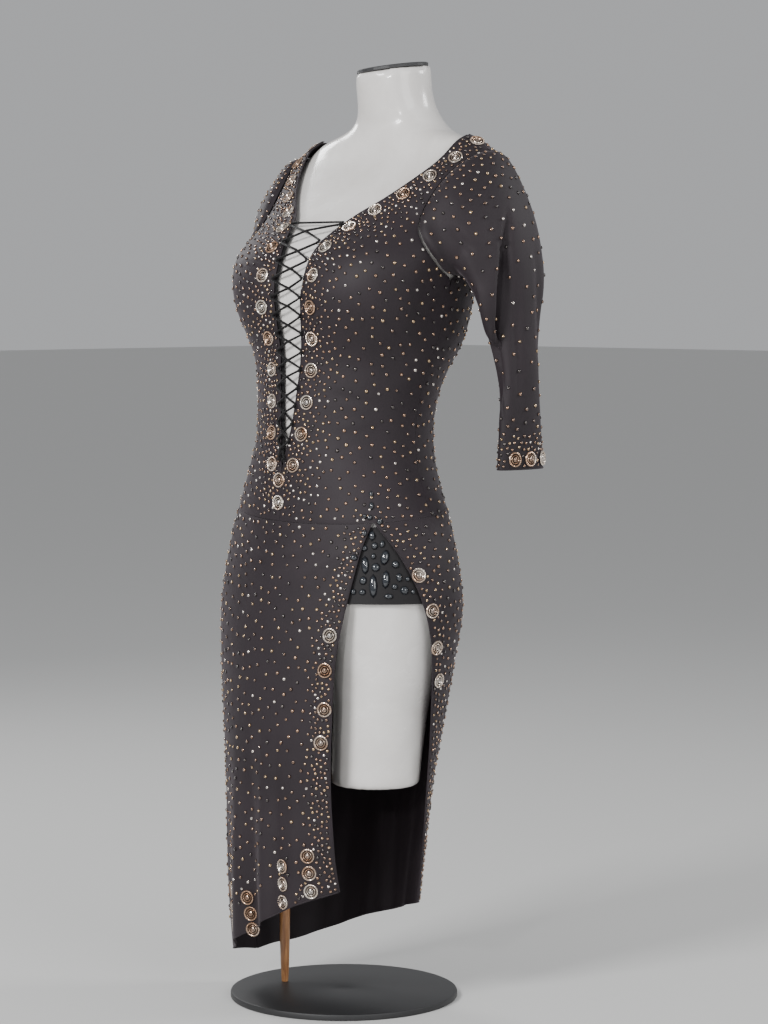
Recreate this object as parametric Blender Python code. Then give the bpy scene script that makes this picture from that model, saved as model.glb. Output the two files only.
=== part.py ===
"""Latin dance dress in stretch jersey, worn by a limbless display form on a post and a round base.

The dress faces -Y, its wearer's left is +X, and the base stands on z = 0 at the origin.
Angles run round the body from the front (0) to the wearer's left (90), the back (180) and the right (270).
"""
import math

import bmesh
import bpy
import numpy as np
from mathutils import Vector
from mathutils.geometry import delaunay_2d_cdt

# Cloth and gaps
CLOTH = 0.0015            # wall of every cloth panel
SEAM = 0.0003             # gap between neighbouring pieces
BRIEF_DROP = 0.0022       # the brief's outer face lies this far under the skirt's inner face
# Air between the form and the dress's inner face: height, distance
FORM_DROP = (
    (0.500, 0.0075),
    (0.590, 0.0065),
    (0.650, 0.0040),
    (0.900, 0.0040),
    (0.980, 0.0065),
    (1.045, 0.0065),
    (1.060, 0.0040),
    (1.090, 0.0010),
)

METRES_PER_DEGREE = 0.0022  # round the body, on average

# Sections of the dress's inner face: height, centre_y, half_width, depth_front, depth_back
BODY = (
    (0.035, -0.0330, 0.1450, 0.1190, 0.1010),
    (0.193, -0.0260, 0.1465, 0.1175, 0.1020),
    (0.280, -0.0220, 0.1480, 0.1150, 0.1040),
    (0.355, -0.0160, 0.1540, 0.1180, 0.1120),
    (0.429, -0.0100, 0.1635, 0.1205, 0.1170),
    (0.488, -0.0040, 0.1735, 0.1180, 0.1170),
    (0.540, -0.0020, 0.1660, 0.1120, 0.1090),
    (0.601, 0.0000, 0.1487, 0.1050, 0.0997),
    (0.650, 0.0010, 0.1270, 0.1035, 0.0950),
    (0.705, 0.0060, 0.1160, 0.1010, 0.0910),
    (0.760, 0.0120, 0.1235, 0.1020, 0.0985),
    (0.806, 0.0240, 0.1348, 0.1100, 0.1206),
    (0.876, 0.0360, 0.1450, 0.1215, 0.1250),
    (0.922, 0.0480, 0.1600, 0.1155, 0.1150),
    (0.954, 0.0600, 0.1740, 0.0964, 0.1040),
    (0.975, 0.0690, 0.1800, 0.0850, 0.0950),
    (1.001, 0.0800, 0.1810, 0.0720, 0.0830),
    (1.024, 0.0870, 0.1720, 0.0560, 0.0690),
    (1.041, 0.0900, 0.1500, 0.0480, 0.0580),
    (1.055, 0.0890, 0.1250, 0.0450, 0.0520),
    (1.064, 0.0930, 0.0900, 0.0430, 0.0600),
    (1.073, 0.0950, 0.0650, 0.0440, 0.0600),
    (1.083, 0.0940, 0.0540, 0.0460, 0.0540),
    (1.098, 0.0905, 0.0495, 0.0480, 0.0490),
    (1.120, 0.0870, 0.0480, 0.0475, 0.0480),
    (1.140, 0.0850, 0.0475, 0.0475, 0.0475),
)

# Cups of the bodice
CUP_ANGLE = 41.0
CUP_SPREAD = 42.0
CUP_HEIGHT = 0.881
CUP_ABOVE = 0.072
CUP_BELOW = 0.095
CUP_DEPTH = 0.030

# Laced opening and neckline: height, half the opening's width across the front
NECKLINE = (
    (0.656, 0.0002),
    (0.700, 0.0092),
    (0.736, 0.0132),
    (0.766, 0.0165),
    (0.800, 0.0188),
    (0.842, 0.0218),
    (0.883, 0.0234),
    (0.905, 0.0242),
    (0.921, 0.0276),
    (0.935, 0.0362),
    (0.944, 0.0412),
    (0.954, 0.0475),
    (0.972, 0.0710),
    (1.001, 0.1010),
    (1.026, 0.1200),
    (1.055, 0.1250),
)
LACE_BOTTOM = 0.656
LACE_TOP = 0.942
SHOULDER_NECK = 1.055      # shoulder seam, neck end
# Back neckline: angle from the centre of the back, height
BACK_NECKLINE = (
    (0.0, 0.975),
    (15.0, 0.978),
    (30.0, 0.993),
    (43.0, 1.018),
    (53.0, 1.037),
    (66.0, 1.049),
    (79.0, 1.053),
    (90.0, 1.055),
)

# Armhole: height, angle of its front edge, angle of its back edge
ARMHOLE = (
    (0.884, 90.0, 90.0),
    (0.887, 83.0, 97.0),
    (0.897, 75.0, 106.0),
    (0.918, 62.0, 119.0),
    (0.945, 51.0, 129.0),
    (0.972, 47.5, 132.0),
    (1.001, 49.0, 131.0),
    (1.021, 57.0, 123.0),
    (1.032, 71.0, 109.0),
    (1.036, 90.0, 90.0),
)

# Dropped seam between bodice and skirt
YOKE_MID = 0.606
YOKE_DIP = 0.014
YOKE_LOW_ANGLE = 20.0

# Opening at the wearer's right side, pointed towards the front
CUT_Z = 0.660
CUT_HALF_HEIGHT = 0.028
CUT_FRONT = 49.0
CUT_BACK = 26.0
CUT_SHAPE = 0.8            # 0.5 would be an ellipse, 1 a parabola

# Slit at the wearer's left: height, angle of its front edge, angle of its back edge
SLIT = (
    (0.130, 45.5, 118.0),
    (0.192, 42.5, 112.0),
    (0.286, 38.0, 104.0),
    (0.376, 36.5, 94.0),
    (0.428, 35.6, 89.0),
    (0.492, 36.4, 77.5),
    (0.536, 40.6, 69.5),
    (0.560, 43.2, 63.5),
    (0.580, 46.6, 57.5),
    (0.594, 50.6, 52.0),
)

# Hem: angle, height
HEM_FRONT = (
    (-90.0, 0.045),
    (-50.0, 0.060),
    (-20.0, 0.088),
    (0.0, 0.112),
    (20.0, 0.136),
    (46.0, 0.156),
)
HEM_BACK = (
    (117.0, 0.134),
    (150.0, 0.116),
    (192.0, 0.087),
    (229.0, 0.057),
    (270.0, 0.045),
)

# Folds of the skirt: angle, half_width, height of its ridge at the hem, height where it dies out
FOLDS = (
    (-74.0, 13.0, 0.0050, 0.330),
    (-49.0, 9.0, 0.0035, 0.300),
    (-23.0, 10.0, 0.0070, 0.400),
    (4.5, 8.5, 0.0080, 0.430),
    (26.0, 7.5, 0.0065, 0.380),
    (41.0, 6.0, 0.0030, 0.300),
    (136.0, 12.0, 0.0050, 0.330),
    (163.0, 10.0, 0.0075, 0.390),
    (190.0, 12.0, 0.0060, 0.360),
    (221.0, 11.0, 0.0080, 0.410),
    (248.0, 10.0, 0.0045, 0.320),
)

# Brief under the slit
BRIEF_HEM = 0.500
BRIEF_CROTCH = 0.452
BRIEF_CROTCH_ANGLE = 9.0
BRIEF_BELOW_YOKE = 0.004
GUSSET_HALF_WIDTH = 0.016
# Gusset along the centre plane: y, z
GUSSET = (
    (-0.1155, 0.4512),
    (-0.1120, 0.4390),
    (-0.0980, 0.4265),
    (-0.0700, 0.4200),
    (0.0000, 0.4190),
    (0.0500, 0.4200),
    (0.0840, 0.4265),
    (0.1010, 0.4390),
    (0.1050, 0.4512),
)

# Sleeve rings: outer_x, outer_z, inner_x, inner_z, centre_y, half_depth, trough, share of the armhole's shape
SLEEVE = (
    (0.1790, 1.0230, 0.1555, 0.8860, 0.0800, 0.0830, 0.000, 0.85),
    (0.1960, 0.9960, 0.1580, 0.8820, 0.0830, 0.0780, 0.001, 0.50),
    (0.2070, 0.9600, 0.1600, 0.8760, 0.0865, 0.0700, 0.004, 0.20),
    (0.2110, 0.9200, 0.1640, 0.8680, 0.0890, 0.0620, 0.008, 0.05),
    (0.2130, 0.8830, 0.1685, 0.8580, 0.0900, 0.0545, 0.011, 0.00),
    (0.2145, 0.8480, 0.1740, 0.8400, 0.0905, 0.0460, 0.012, 0.00),
    (0.2155, 0.8100, 0.1810, 0.8080, 0.0920, 0.0370, 0.009, 0.00),
    (0.2160, 0.7700, 0.1880, 0.7700, 0.0940, 0.0310, 0.006, 0.00),
    (0.2165, 0.7320, 0.1910, 0.7320, 0.0955, 0.0310, 0.003, 0.00),
    (0.2165, 0.6930, 0.1920, 0.6930, 0.0960, 0.0335, 0.002, 0.00),
    (0.2170, 0.6555, 0.1920, 0.6555, 0.0960, 0.0370, 0.002, 0.00),
)
SLEEVE_PUSH = 0.008       # how far the armhole's shape is moved out in those rings
TROUGH_ANGLE = 120.0
TROUGH_WIDTH = 20.0

# Lacing: diameter and rows of crossings
CORD_D = 0.0030
CROSSINGS = 13

# Display form
NECK_TOP = 1.138
CAP_THICK = 0.004
CAP_TILT = 7.0
# Pelvis under the last body section: height, half_width, half_depth
PELVIS = (
    (0.432, 0.0500, 0.0450),
    (0.442, 0.0850, 0.0700),
    (0.462, 0.1200, 0.0880),
    (0.484, 0.1420, 0.0980),
)
HIP_START = 0.504         # first torso section that follows the dress
# Thigh stump: height, centre_x, centre_y, half_width, half_depth
THIGH = (
    (0.275, 0.0800, -0.0250, 0.0535, 0.0535),
    (0.321, 0.0815, -0.0220, 0.0555, 0.0565),
    (0.371, 0.0830, -0.0180, 0.0570, 0.0600),
    (0.400, 0.0830, -0.0150, 0.0630, 0.0650),
    (0.430, 0.0840, -0.0120, 0.0670, 0.0700),
    (0.460, 0.0850, -0.0090, 0.0720, 0.0760),
    (0.492, 0.0850, -0.0060, 0.0770, 0.0800),
    (0.530, 0.0800, -0.0040, 0.0700, 0.0760),
)

# Stand
BASE_RADIUS = 0.140
BASE_THICK = 0.008
BASE_CHAMFER = 0.002
FLANGE_RADIUS = 0.030
FLANGE_THICK = 0.004
# Turned post: height, radius
POST = (
    (0.0083, 0.0042),
    (0.0300, 0.0054),
    (0.0600, 0.0062),
    (0.1200, 0.0068),
    (0.2000, 0.0080),
    (0.2704, 0.0095),
)

# Sewn medallions
MEDALLION_RADIUS = 0.0092
MEDALLION_TOP = 0.0060      # radius of its flat middle
MEDALLION_RIM = 0.0014      # height of its straight side
MEDALLION_START = 0.0045    # first one, above the foot of the lacing
MEDALLION_END = 0.0050      # the row ends this far below the shoulder seam
MEDALLION_THICK = 0.0024
MEDALLION_LIFT = 0.0019
MEDALLION_PITCH = 0.0385
EDGE_INSET = 0.0165        # from the laced edge to the middle of a medallion

# name: red, green, blue, roughness, metallic
FINISHES = {
    "jersey": (0.045, 0.036, 0.042, 0.75, 0.0),
    "brief_jersey": (0.020, 0.017, 0.020, 0.70, 0.0),
    "cord": (0.010, 0.009, 0.010, 0.60, 0.0),
    "copper_trim": (0.62, 0.36, 0.22, 0.25, 1.0),
    "form_gloss": (0.86, 0.84, 0.82, 0.15, 0.0),
    "cap_dark": (0.03, 0.03, 0.03, 0.40, 0.0),
    "steel": (0.45, 0.45, 0.45, 0.35, 1.0),
    "base_black": (0.015, 0.015, 0.015, 0.50, 0.0),
    "wood": (0.52, 0.24, 0.09, 0.45, 0.0),
}


def finish(name):
    """The material of this name, made once."""
    material = bpy.data.materials.get(name)
    if material is None:
        material = bpy.data.materials.new(name)
        material.use_nodes = True
        shader = material.node_tree.nodes["Principled BSDF"]
        red, green, blue, roughness, metallic = FINISHES[name]
        shader.inputs["Base Color"].default_value = (red, green, blue, 1.0)
        shader.inputs["Roughness"].default_value = roughness
        shader.inputs["Metallic"].default_value = metallic
    return material


def add_object(name, vertices, faces, material):
    """A named object from vertices and faces, its faces turned outwards."""
    mesh = bpy.data.meshes.new(name)
    mesh.from_pydata([tuple(v) for v in vertices], [], faces)
    work = bmesh.new()
    work.from_mesh(mesh)
    bmesh.ops.recalc_face_normals(work, faces=work.faces)
    if work.calc_volume(signed=True) < 0:
        bmesh.ops.reverse_faces(work, faces=work.faces)
    work.to_mesh(mesh)
    work.free()
    mesh.shade_smooth()
    mesh.set_sharp_from_angle(angle=math.radians(40))
    mesh.materials.append(finish(material))
    placed = bpy.data.objects.new(name, mesh)
    bpy.context.scene.collection.objects.link(placed)
    return placed


# ---------------------------------------------------------------- curves and surfaces

def smooth(rows, x):
    """A smooth curve through a table: its first column in, the other columns out."""
    table = np.asarray(rows, float)
    keys = table[:, 0]
    values = table[:, 1:]
    slopes = np.gradient(values, keys, axis=0)
    x = np.clip(np.atleast_1d(np.asarray(x, float)), keys[0], keys[-1])
    i = np.clip(np.searchsorted(keys, x) - 1, 0, len(keys) - 2)
    h = (keys[i + 1] - keys[i])[:, None]
    f = ((x - keys[i]) / h[:, 0])[:, None]
    start = (2 * f**3 - 3 * f**2 + 1) * values[i] + (f**3 - 2 * f**2 + f) * h * slopes[i]
    end = (3 * f**2 - 2 * f**3) * values[i + 1] + (f**3 - f**2) * h * slopes[i + 1]
    return start + end


def along_side():
    """The sections again, keyed by the length along the body's side instead of the height."""
    table = np.asarray(BODY)
    steps = np.hypot(np.diff(table[:, 0]), np.diff(table[:, 2]))
    return np.column_stack([np.concatenate([[0.0], np.cumsum(steps)]), table])


SIDE = along_side()
SIDE_FINE = np.linspace(0.0, SIDE[-1, 0], 800)
HEIGHT_FINE = smooth(SIDE, SIDE_FINE)[:, 0]


def side_at(height):
    """Length along the side at a height."""
    return np.interp(height, HEIGHT_FINE, SIDE_FINE)


def cup(angle, height):
    """How far a bodice cup stands out."""
    wrapped = (angle + 180.0) % 360.0 - 180.0
    across = (np.abs(wrapped) - CUP_ANGLE) / CUP_SPREAD
    rise = np.where(height > CUP_HEIGHT, CUP_ABOVE, CUP_BELOW)
    up = (height - CUP_HEIGHT) / rise
    return CUP_DEPTH * np.clip(1 - across**2, 0, 1) ** 1.5 * np.clip(1 - up**2, 0, 1) ** 1.3


def folds(angle, height):
    """How far the skirt's folds stand out."""
    total = np.zeros_like(angle)
    for at, half_width, ridge, top in FOLDS:
        apart = (angle - at + 180.0) % 360.0 - 180.0
        fade = np.clip((top - height) / (top - 0.10), 0.0, 1.2)
        total += ridge * fade**1.4 * np.exp(-((apart / half_width) ** 2))
        total -= 0.3 * ridge * fade**1.4
    return total


def body_point(angle, side):
    """Points on the dress's inner face."""
    height, centre, width, front, back = smooth(SIDE, side).T
    turn = np.radians(angle)
    depth = np.where(np.cos(turn) > 0, front, back)
    out = cup(angle, height) + folds(angle, height)
    x = (width + out) * np.sin(turn)
    y = centre - (depth + out) * np.cos(turn)
    return np.column_stack([x, y, height])


def body(angle, side, out=0.0):
    """Points moved out from the dress's inner face, along its normal."""
    angle = np.atleast_1d(np.asarray(angle, float))
    side = np.atleast_1d(np.asarray(side, float))
    angle, side = np.broadcast_arrays(angle, side)
    low = np.clip(side - 0.001, 0.0, SIDE[-1, 0])
    high = np.clip(side + 0.001, 0.0, SIDE[-1, 0])
    across = body_point(angle + 0.5, side) - body_point(angle - 0.5, side)
    up = body_point(angle, high) - body_point(angle, low)
    normal = np.cross(across, up)
    normal /= np.linalg.norm(normal, axis=1)[:, None]
    return body_point(angle, side) + normal * np.reshape(out, (-1, 1))


def angle_of(x, side):
    """Angle on the front where the section at this side length is x wide."""
    width = smooth(SIDE, side)[:, 2]
    return np.degrees(np.arcsin(np.clip(x / width, -1.0, 1.0)))


def evenly(angle, side, count):
    """The same curve with count + 1 points at even lengths on the body."""
    points = body_point(np.asarray(angle, float), np.asarray(side, float))
    steps = np.linalg.norm(np.diff(points, axis=0), axis=1)
    length = np.concatenate([[0.0], np.cumsum(steps)])
    wanted = np.linspace(0.0, length[-1], count + 1)
    return np.column_stack([np.interp(wanted, length, angle), np.interp(wanted, length, side)])


def chain(*stretches):
    """Stretches of a boundary joined end to end."""
    joined = [stretches[0]]
    for stretch in stretches[1:]:
        joined.append(stretch[1:])
    return np.concatenate(joined)


def across_row(start, end, count):
    """Even angles from one edge of a panel to the other."""
    return np.linspace(start, end, count + 1)


def patch(left, right, bottom, top, left_fade=1.0):
    """Angles and side lengths inside a panel, row by row.

    left and right are its edges from the bottom up; bottom and top are the side lengths of its columns' ends.
    A left_fade over 1 keeps the columns away from the left edge upright where that edge slants.
    """
    up = np.linspace(0.0, 1.0, len(left))[:, None]
    across = np.linspace(0.0, 1.0, len(bottom))[None, :]
    chord = (1 - up) * left[0, 0] + up * left[-1, 0]
    slant = (left[:, :1] - chord) * (1 - across) ** left_fade
    angle = (1 - across) * chord + slant + across * right[:, :1]
    left_rise = (left[:, 1:] - left[0, 1]) / (left[-1, 1] - left[0, 1])
    right_rise = (right[:, 1:] - right[0, 1]) / (right[-1, 1] - right[0, 1])
    rise = (1 - across) * left_rise + across * right_rise
    side = bottom[None, :] + rise * (top - bottom)[None, :]
    return np.stack([angle, side], axis=2)


# ---------------------------------------------------------------- cloth walls

def wall(outer, inner, around=False):
    """Vertices and faces of a closed wall between two grids; around joins the last column to the first."""
    rows, columns = outer.shape[:2]
    vertices = list(outer.reshape(-1, 3)) + list(inner.reshape(-1, 3))
    under = rows * columns
    faces = []
    last = columns if around else columns - 1
    for row in range(rows - 1):
        for column in range(last):
            a = row * columns + column
            b = row * columns + (column + 1) % columns
            c = b + columns
            d = a + columns
            faces.append((a, b, c, d))
            faces.append((under + d, under + c, under + b, under + a))
    for row in (0, rows - 1):
        for column in range(last):
            a = row * columns + column
            b = row * columns + (column + 1) % columns
            rim = (a, under + a, under + b, b)
            faces.append(rim if row == 0 else rim[::-1])
    if not around:
        for column in (0, columns - 1):
            for row in range(rows - 1):
                a = row * columns + column
                d = a + columns
                rim = (a, d, under + d, under + a)
                faces.append(rim if column == 0 else rim[::-1])
    return vertices, faces


def cloth_panel(name, grid, material="jersey", out=0.0):
    """A cloth wall over a grid of angles and side lengths, its inner face at out."""
    shape = grid.shape[:2]
    angle = grid[..., 0].ravel()
    side = grid[..., 1].ravel()
    inner = body(angle, side, out).reshape(*shape, 3)
    outer = body(angle, side, out + CLOTH).reshape(*shape, 3)
    vertices, faces = wall(outer, inner)
    return add_object(name, vertices, faces, material)


def filled_panel(name, outline, pitch, material="jersey"):
    """A cloth wall inside a closed outline of angles and side lengths, over an even lattice of points."""
    flat = outline * (METRES_PER_DEGREE, 1.0)
    count = len(flat)
    low = flat.min(axis=0)
    high = flat.max(axis=0)
    row_step = pitch * math.sqrt(3.0) / 2
    points = [Vector(p) for p in flat]
    for row in range(1, int((high[1] - low[1]) / row_step) + 1):
        for column in range(int((high[0] - low[0]) / pitch) + 1):
            spot = low + (pitch * (column + 0.5 * (row % 2)), row_step * row)
            if inside(spot, flat) and edge_distance(spot, flat) > 0.55 * pitch:
                points.append(Vector(spot))
    placed, _, triangles, *_ = delaunay_2d_cdt(points, [], [tuple(range(count))], 1, 1e-7)
    spots = np.array([tuple(p) for p in placed]) / (METRES_PER_DEGREE, 1.0)
    outer = body(spots[:, 0], spots[:, 1], CLOTH)
    inner = body(spots[:, 0], spots[:, 1])
    under = len(spots)
    faces = [tuple(t) for t in triangles]
    faces += [tuple(under + i for i in reversed(t)) for t in triangles]
    for a in range(count):
        b = (a + 1) % count
        faces.append((a, under + a, under + b, b))
    return add_object(name, np.concatenate([outer, inner]), faces, material)


def inside(spot, outline):
    """Whether a flat point lies inside a closed outline."""
    start = outline
    end = np.roll(outline, -1, axis=0)
    spans = (start[:, 1] > spot[1]) != (end[:, 1] > spot[1])
    rise = np.where(spans, end[:, 1] - start[:, 1], 1.0)
    crossing = start[:, 0] + (spot[1] - start[:, 1]) * (end[:, 0] - start[:, 0]) / rise
    return np.count_nonzero(spans & (crossing > spot[0])) % 2 == 1


def edge_distance(spot, outline):
    """Distance from a flat point to an outline."""
    along = np.roll(outline, -1, axis=0) - outline
    share = ((spot - outline) * along).sum(axis=1) / (along**2).sum(axis=1)
    nearest = outline + along * np.clip(share, 0.0, 1.0)[:, None]
    return np.linalg.norm(nearest - spot, axis=1).min()


def grid_normals(grid):
    """Outward unit normals of a grid that closes round its columns."""
    across = np.roll(grid, -1, axis=1) - np.roll(grid, 1, axis=1)
    along = np.gradient(grid, axis=0)
    normal = np.cross(along, across)
    return normal / np.linalg.norm(normal, axis=2)[..., None]


def rings(name, sections, material):
    """A solid through closed rings, with flat ends."""
    count = len(sections[0])
    vertices = [point for section in sections for point in section]
    faces = [tuple(range(count))[::-1]]
    for row in range(len(sections) - 1):
        for column in range(count):
            a = row * count + column
            b = row * count + (column + 1) % count
            faces.append((a, b, b + count, a + count))
    start = (len(sections) - 1) * count
    faces.append(tuple(range(start, start + count)))
    return add_object(name, vertices, faces, material)


# ---------------------------------------------------------------- seam lines

def yoke(angle):
    """Side length of the dropped seam at an angle."""
    return side_at(YOKE_MID - YOKE_DIP * np.cos(np.radians(angle - YOKE_LOW_ANGLE)))


def neck_edge(low, high, count):
    """Edge of the wearer's left front from one height to another."""
    height = np.linspace(low, high, 80)
    side = side_at(height)
    half = np.maximum(smooth(NECKLINE, height)[:, 0], 0.5 * SEAM)
    return evenly(angle_of(half, side), side, count)


def armhole(column, count):
    """Edge of the armhole from the underarm up to the shoulder; column 1 is its front, 2 its back."""
    rows = np.asarray(ARMHOLE)
    numbered = np.column_stack([np.arange(len(rows)), rows])
    fine = smooth(numbered, np.linspace(0, len(rows) - 1, 120))
    return evenly(fine[:, column], side_at(fine[:, 0]), count)


def beside_seam(angle, side, towards):
    """Angle half a seam gap to one side of a side seam."""
    front, back = smooth(SIDE, side)[:, 3:5].T
    return angle + towards * np.degrees(0.5 * SEAM / np.minimum(front, back))


def side_seam(angle, towards, low, high, count):
    """A panel's edge along a side seam, between two side lengths."""
    side = np.linspace(low, high, 60)
    return evenly(beside_seam(angle, side, towards), side, count)


def cut_edge(towards, reach, low, high):
    """A panel's edge along the right side seam, bowed away from the opening in it."""
    ends = side_at(np.array([CUT_Z - CUT_HALF_HEIGHT, CUT_Z + CUT_HALF_HEIGHT]))
    bow = CUT_Z - CUT_HALF_HEIGHT * np.cos(np.linspace(0.0, math.pi, CUT_ROWS + 1))
    above = np.linspace(ends[1], high, SIDE_ROWS - CUT_ROWS)[1:]
    side = np.concatenate([[low], side_at(bow), above])
    height = np.interp(side, SIDE_FINE, HEIGHT_FINE)
    up = np.clip(1 - ((height - CUT_Z) / CUT_HALF_HEIGHT) ** 2, 0.0, 1.0)
    angle = beside_seam(90.0, side, towards) + towards * reach * up**CUT_SHAPE
    return np.column_stack([angle, side])


# ---------------------------------------------------------------- bodice

SIDE_ROWS = 13
CUT_ROWS = 6
ARM_ROWS = 12
SHOULDER_SEAM = 3.0         # the shoulder seam's gap is wider by this much
FRONT_COLUMNS = 10


def front_panel(name, mirrored):
    """Half of the laced front, from the dropped seam to the shoulder."""
    sign = -1.0 if mirrored else 1.0
    yoke_centre = float(yoke(0.0)) + SEAM
    yoke_side = float(yoke(sign * 90.0)) + SEAM
    bottom_z = np.interp(yoke_centre, SIDE_FINE, HEIGHT_FINE)
    left = chain(neck_edge(bottom_z, 0.905, SIDE_ROWS), neck_edge(0.905, SHOULDER_NECK, ARM_ROWS))
    arm = armhole(1, ARM_ROWS)
    if mirrored:
        low = cut_edge(-1.0, CUT_FRONT, yoke_side, arm[0, 1])
    else:
        low = side_seam(90.0, -1.0, yoke_side, arm[0, 1], SIDE_ROWS)
    right = chain(low, arm)
    for edge in (left, right):
        edge[-1, 0] = beside_seam(90.0, edge[-1, 1], -SHOULDER_SEAM)[0]
    top = np.linspace(left[-1, 1], right[-1, 1], FRONT_COLUMNS + 1)
    bottom = yoke(sign * across_row(left[0, 0], right[0, 0], FRONT_COLUMNS)) + SEAM
    left[0, 1] = bottom[0]
    right[0, 1] = bottom[-1]
    grid = patch(left, right, bottom, top)
    grid[..., 0] *= sign
    return cloth_panel(name, grid)


BACK_COLUMNS = 16
SEAM_COLUMNS = 3            # along each shoulder seam
NECK_COLUMNS = 18
BACK_PITCH = 0.021          # between the points inside the back


def back_neck(angle):
    """Height of the back neckline at an angle."""
    return smooth(BACK_NECKLINE, np.abs(angle - 180.0))[:, 0]


def back_panel():
    """The back, from the dropped seam to both shoulders, with a scooped neckline."""
    arm = armhole(2, ARM_ROWS)
    low = side_seam(90.0, 1.0, float(yoke(90.0)) + SEAM, arm[0, 1], SIDE_ROWS)
    left = chain(low, arm)
    low = cut_edge(1.0, CUT_BACK, float(yoke(270.0)) + SEAM, arm[0, 1])
    right = chain(low, arm)
    side = np.linspace(arm[-1, 1], float(side_at(SHOULDER_NECK)), SEAM_COLUMNS + 1)
    seam = np.column_stack([beside_seam(90.0, side, SHOULDER_SEAM), side])
    left[-1] = seam[0]
    right[-1] = seam[0]
    right[:, 0] = 360.0 - right[:, 0]
    far_seam = seam[::-1].copy()
    far_seam[:, 0] = 360.0 - far_seam[:, 0]
    spread = np.linspace(seam[-1, 0], far_seam[0, 0], 90)
    neck = evenly(spread, side_at(back_neck(spread)), NECK_COLUMNS)
    neck[0] = seam[-1]
    neck[-1] = far_seam[0]
    spread = across_row(left[0, 0], right[0, 0], BACK_COLUMNS)
    bottom = np.column_stack([spread, yoke(spread) + SEAM])
    outline = chain(left, seam, neck, far_seam, right[::-1], bottom[::-1])
    return filled_panel("bodice_back", outline[:-1], BACK_PITCH)


# ---------------------------------------------------------------- skirt

SKIRT_ROWS = 14
SKIRT_FRONT_COLUMNS = 20
SKIRT_BACK_COLUMNS = 22


def slit_edge(column, low, high, count):
    """One edge of the slit between two heights."""
    height = np.linspace(low, high, 80)
    return evenly(smooth(SLIT, height)[:, column], side_at(height), count)


def hem_line(table, count):
    """Angles and side lengths of a hem through its table's heights."""
    angle = across_row(table[0][0], table[-1][0], count)
    return np.column_stack([angle, side_at(smooth(table, angle)[:, 0])])


def skirt_front():
    """From the right side seam round the front to the slit."""
    hem = hem_line(HEM_FRONT, SKIRT_FRONT_COLUMNS)
    top_z = SLIT[-1][0]
    hem_z = float(np.interp(hem[-1, 1], SIDE_FINE, HEIGHT_FINE))
    right = slit_edge(0, hem_z, top_z, SKIRT_ROWS)
    right[0] = hem[-1]
    left = side_seam(-90.0, 1.0, hem[0, 1], float(yoke(-90.0)), SKIRT_ROWS)
    top = yoke(across_row(left[-1, 0], right[-1, 0], SKIRT_FRONT_COLUMNS))
    right[-1, 1] = top[-1]
    return cloth_panel("skirt_front", patch(left, right, hem[:, 1], top))


def skirt_back():
    """From the slit's back edge round the back to the right side seam."""
    hem = hem_line(HEM_BACK, SKIRT_BACK_COLUMNS)
    top_z = SLIT[-1][0]
    hem_z = float(np.interp(hem[0, 1], SIDE_FINE, HEIGHT_FINE))
    left = slit_edge(1, hem_z, top_z, SKIRT_ROWS)
    left[0] = hem[0]
    right = side_seam(270.0, -1.0, hem[-1, 1], float(yoke(270.0)), SKIRT_ROWS)
    top = yoke(across_row(left[-1, 0], right[-1, 0], SKIRT_BACK_COLUMNS))
    left[-1, 1] = top[0]
    return cloth_panel("skirt_back", patch(left, right, hem[:, 1], top, 2.0))


# ---------------------------------------------------------------- brief

def brief_hem(angle):
    """Lower edge of the brief, dipping to the gusset at front and back."""
    off_centre = np.abs((np.asarray(angle, float) + 90.0) % 180.0 - 90.0)
    step = np.clip((off_centre - BRIEF_CROTCH_ANGLE) / 16.0, 0.0, 1.0)
    return BRIEF_CROTCH + (BRIEF_HEM - BRIEF_CROTCH) * step * step * (3 - 2 * step)


def brief_panel(name, start, end):
    """Front or back of the brief, just under the skirt."""
    columns = 16
    rows = 5
    half_gap = math.degrees(0.5 * SEAM / BODY[5][3])
    spread = across_row(start + half_gap, end - half_gap, columns)
    bottom = side_at(brief_hem(spread))
    top = yoke(spread) - BRIEF_BELOW_YOKE
    left = np.column_stack([np.full(rows + 1, spread[0]), np.linspace(bottom[0], top[0], rows + 1)])
    right = np.column_stack([np.full(rows + 1, spread[-1]), np.linspace(bottom[-1], top[-1], rows + 1)])
    return cloth_panel(name, patch(left, right, bottom, top), "brief_jersey", -BRIEF_DROP - CLOTH)


def brief_gusset():
    """The strip that joins front and back between the thighs."""
    path = np.asarray(GUSSET)
    tangent = np.gradient(path, axis=0)
    tangent /= np.linalg.norm(tangent, axis=1)[:, None]
    down = np.column_stack([tangent[:, 1], -tangent[:, 0]])
    across = np.linspace(-GUSSET_HALF_WIDTH, GUSSET_HALF_WIDTH, 3)
    outer = np.array([[(x, y, z) for x in across] for y, z in path])
    inner = np.array([[(x, y - CLOTH * dy, z - CLOTH * dz) for x in across]
                      for (y, z), (dy, dz) in zip(path, down)])
    vertices, faces = wall(outer, inner)
    return add_object("brief_gusset", vertices, faces, "brief_jersey")


# ---------------------------------------------------------------- sleeves

SLEEVE_COLUMNS = 2 * ARM_ROWS
SLEEVE_GAP = 0.0014         # from the bodice's edge to the sleeve's first ring
SLEEVE_LIFT = 0.0014        # of that ring over the bodice


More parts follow.
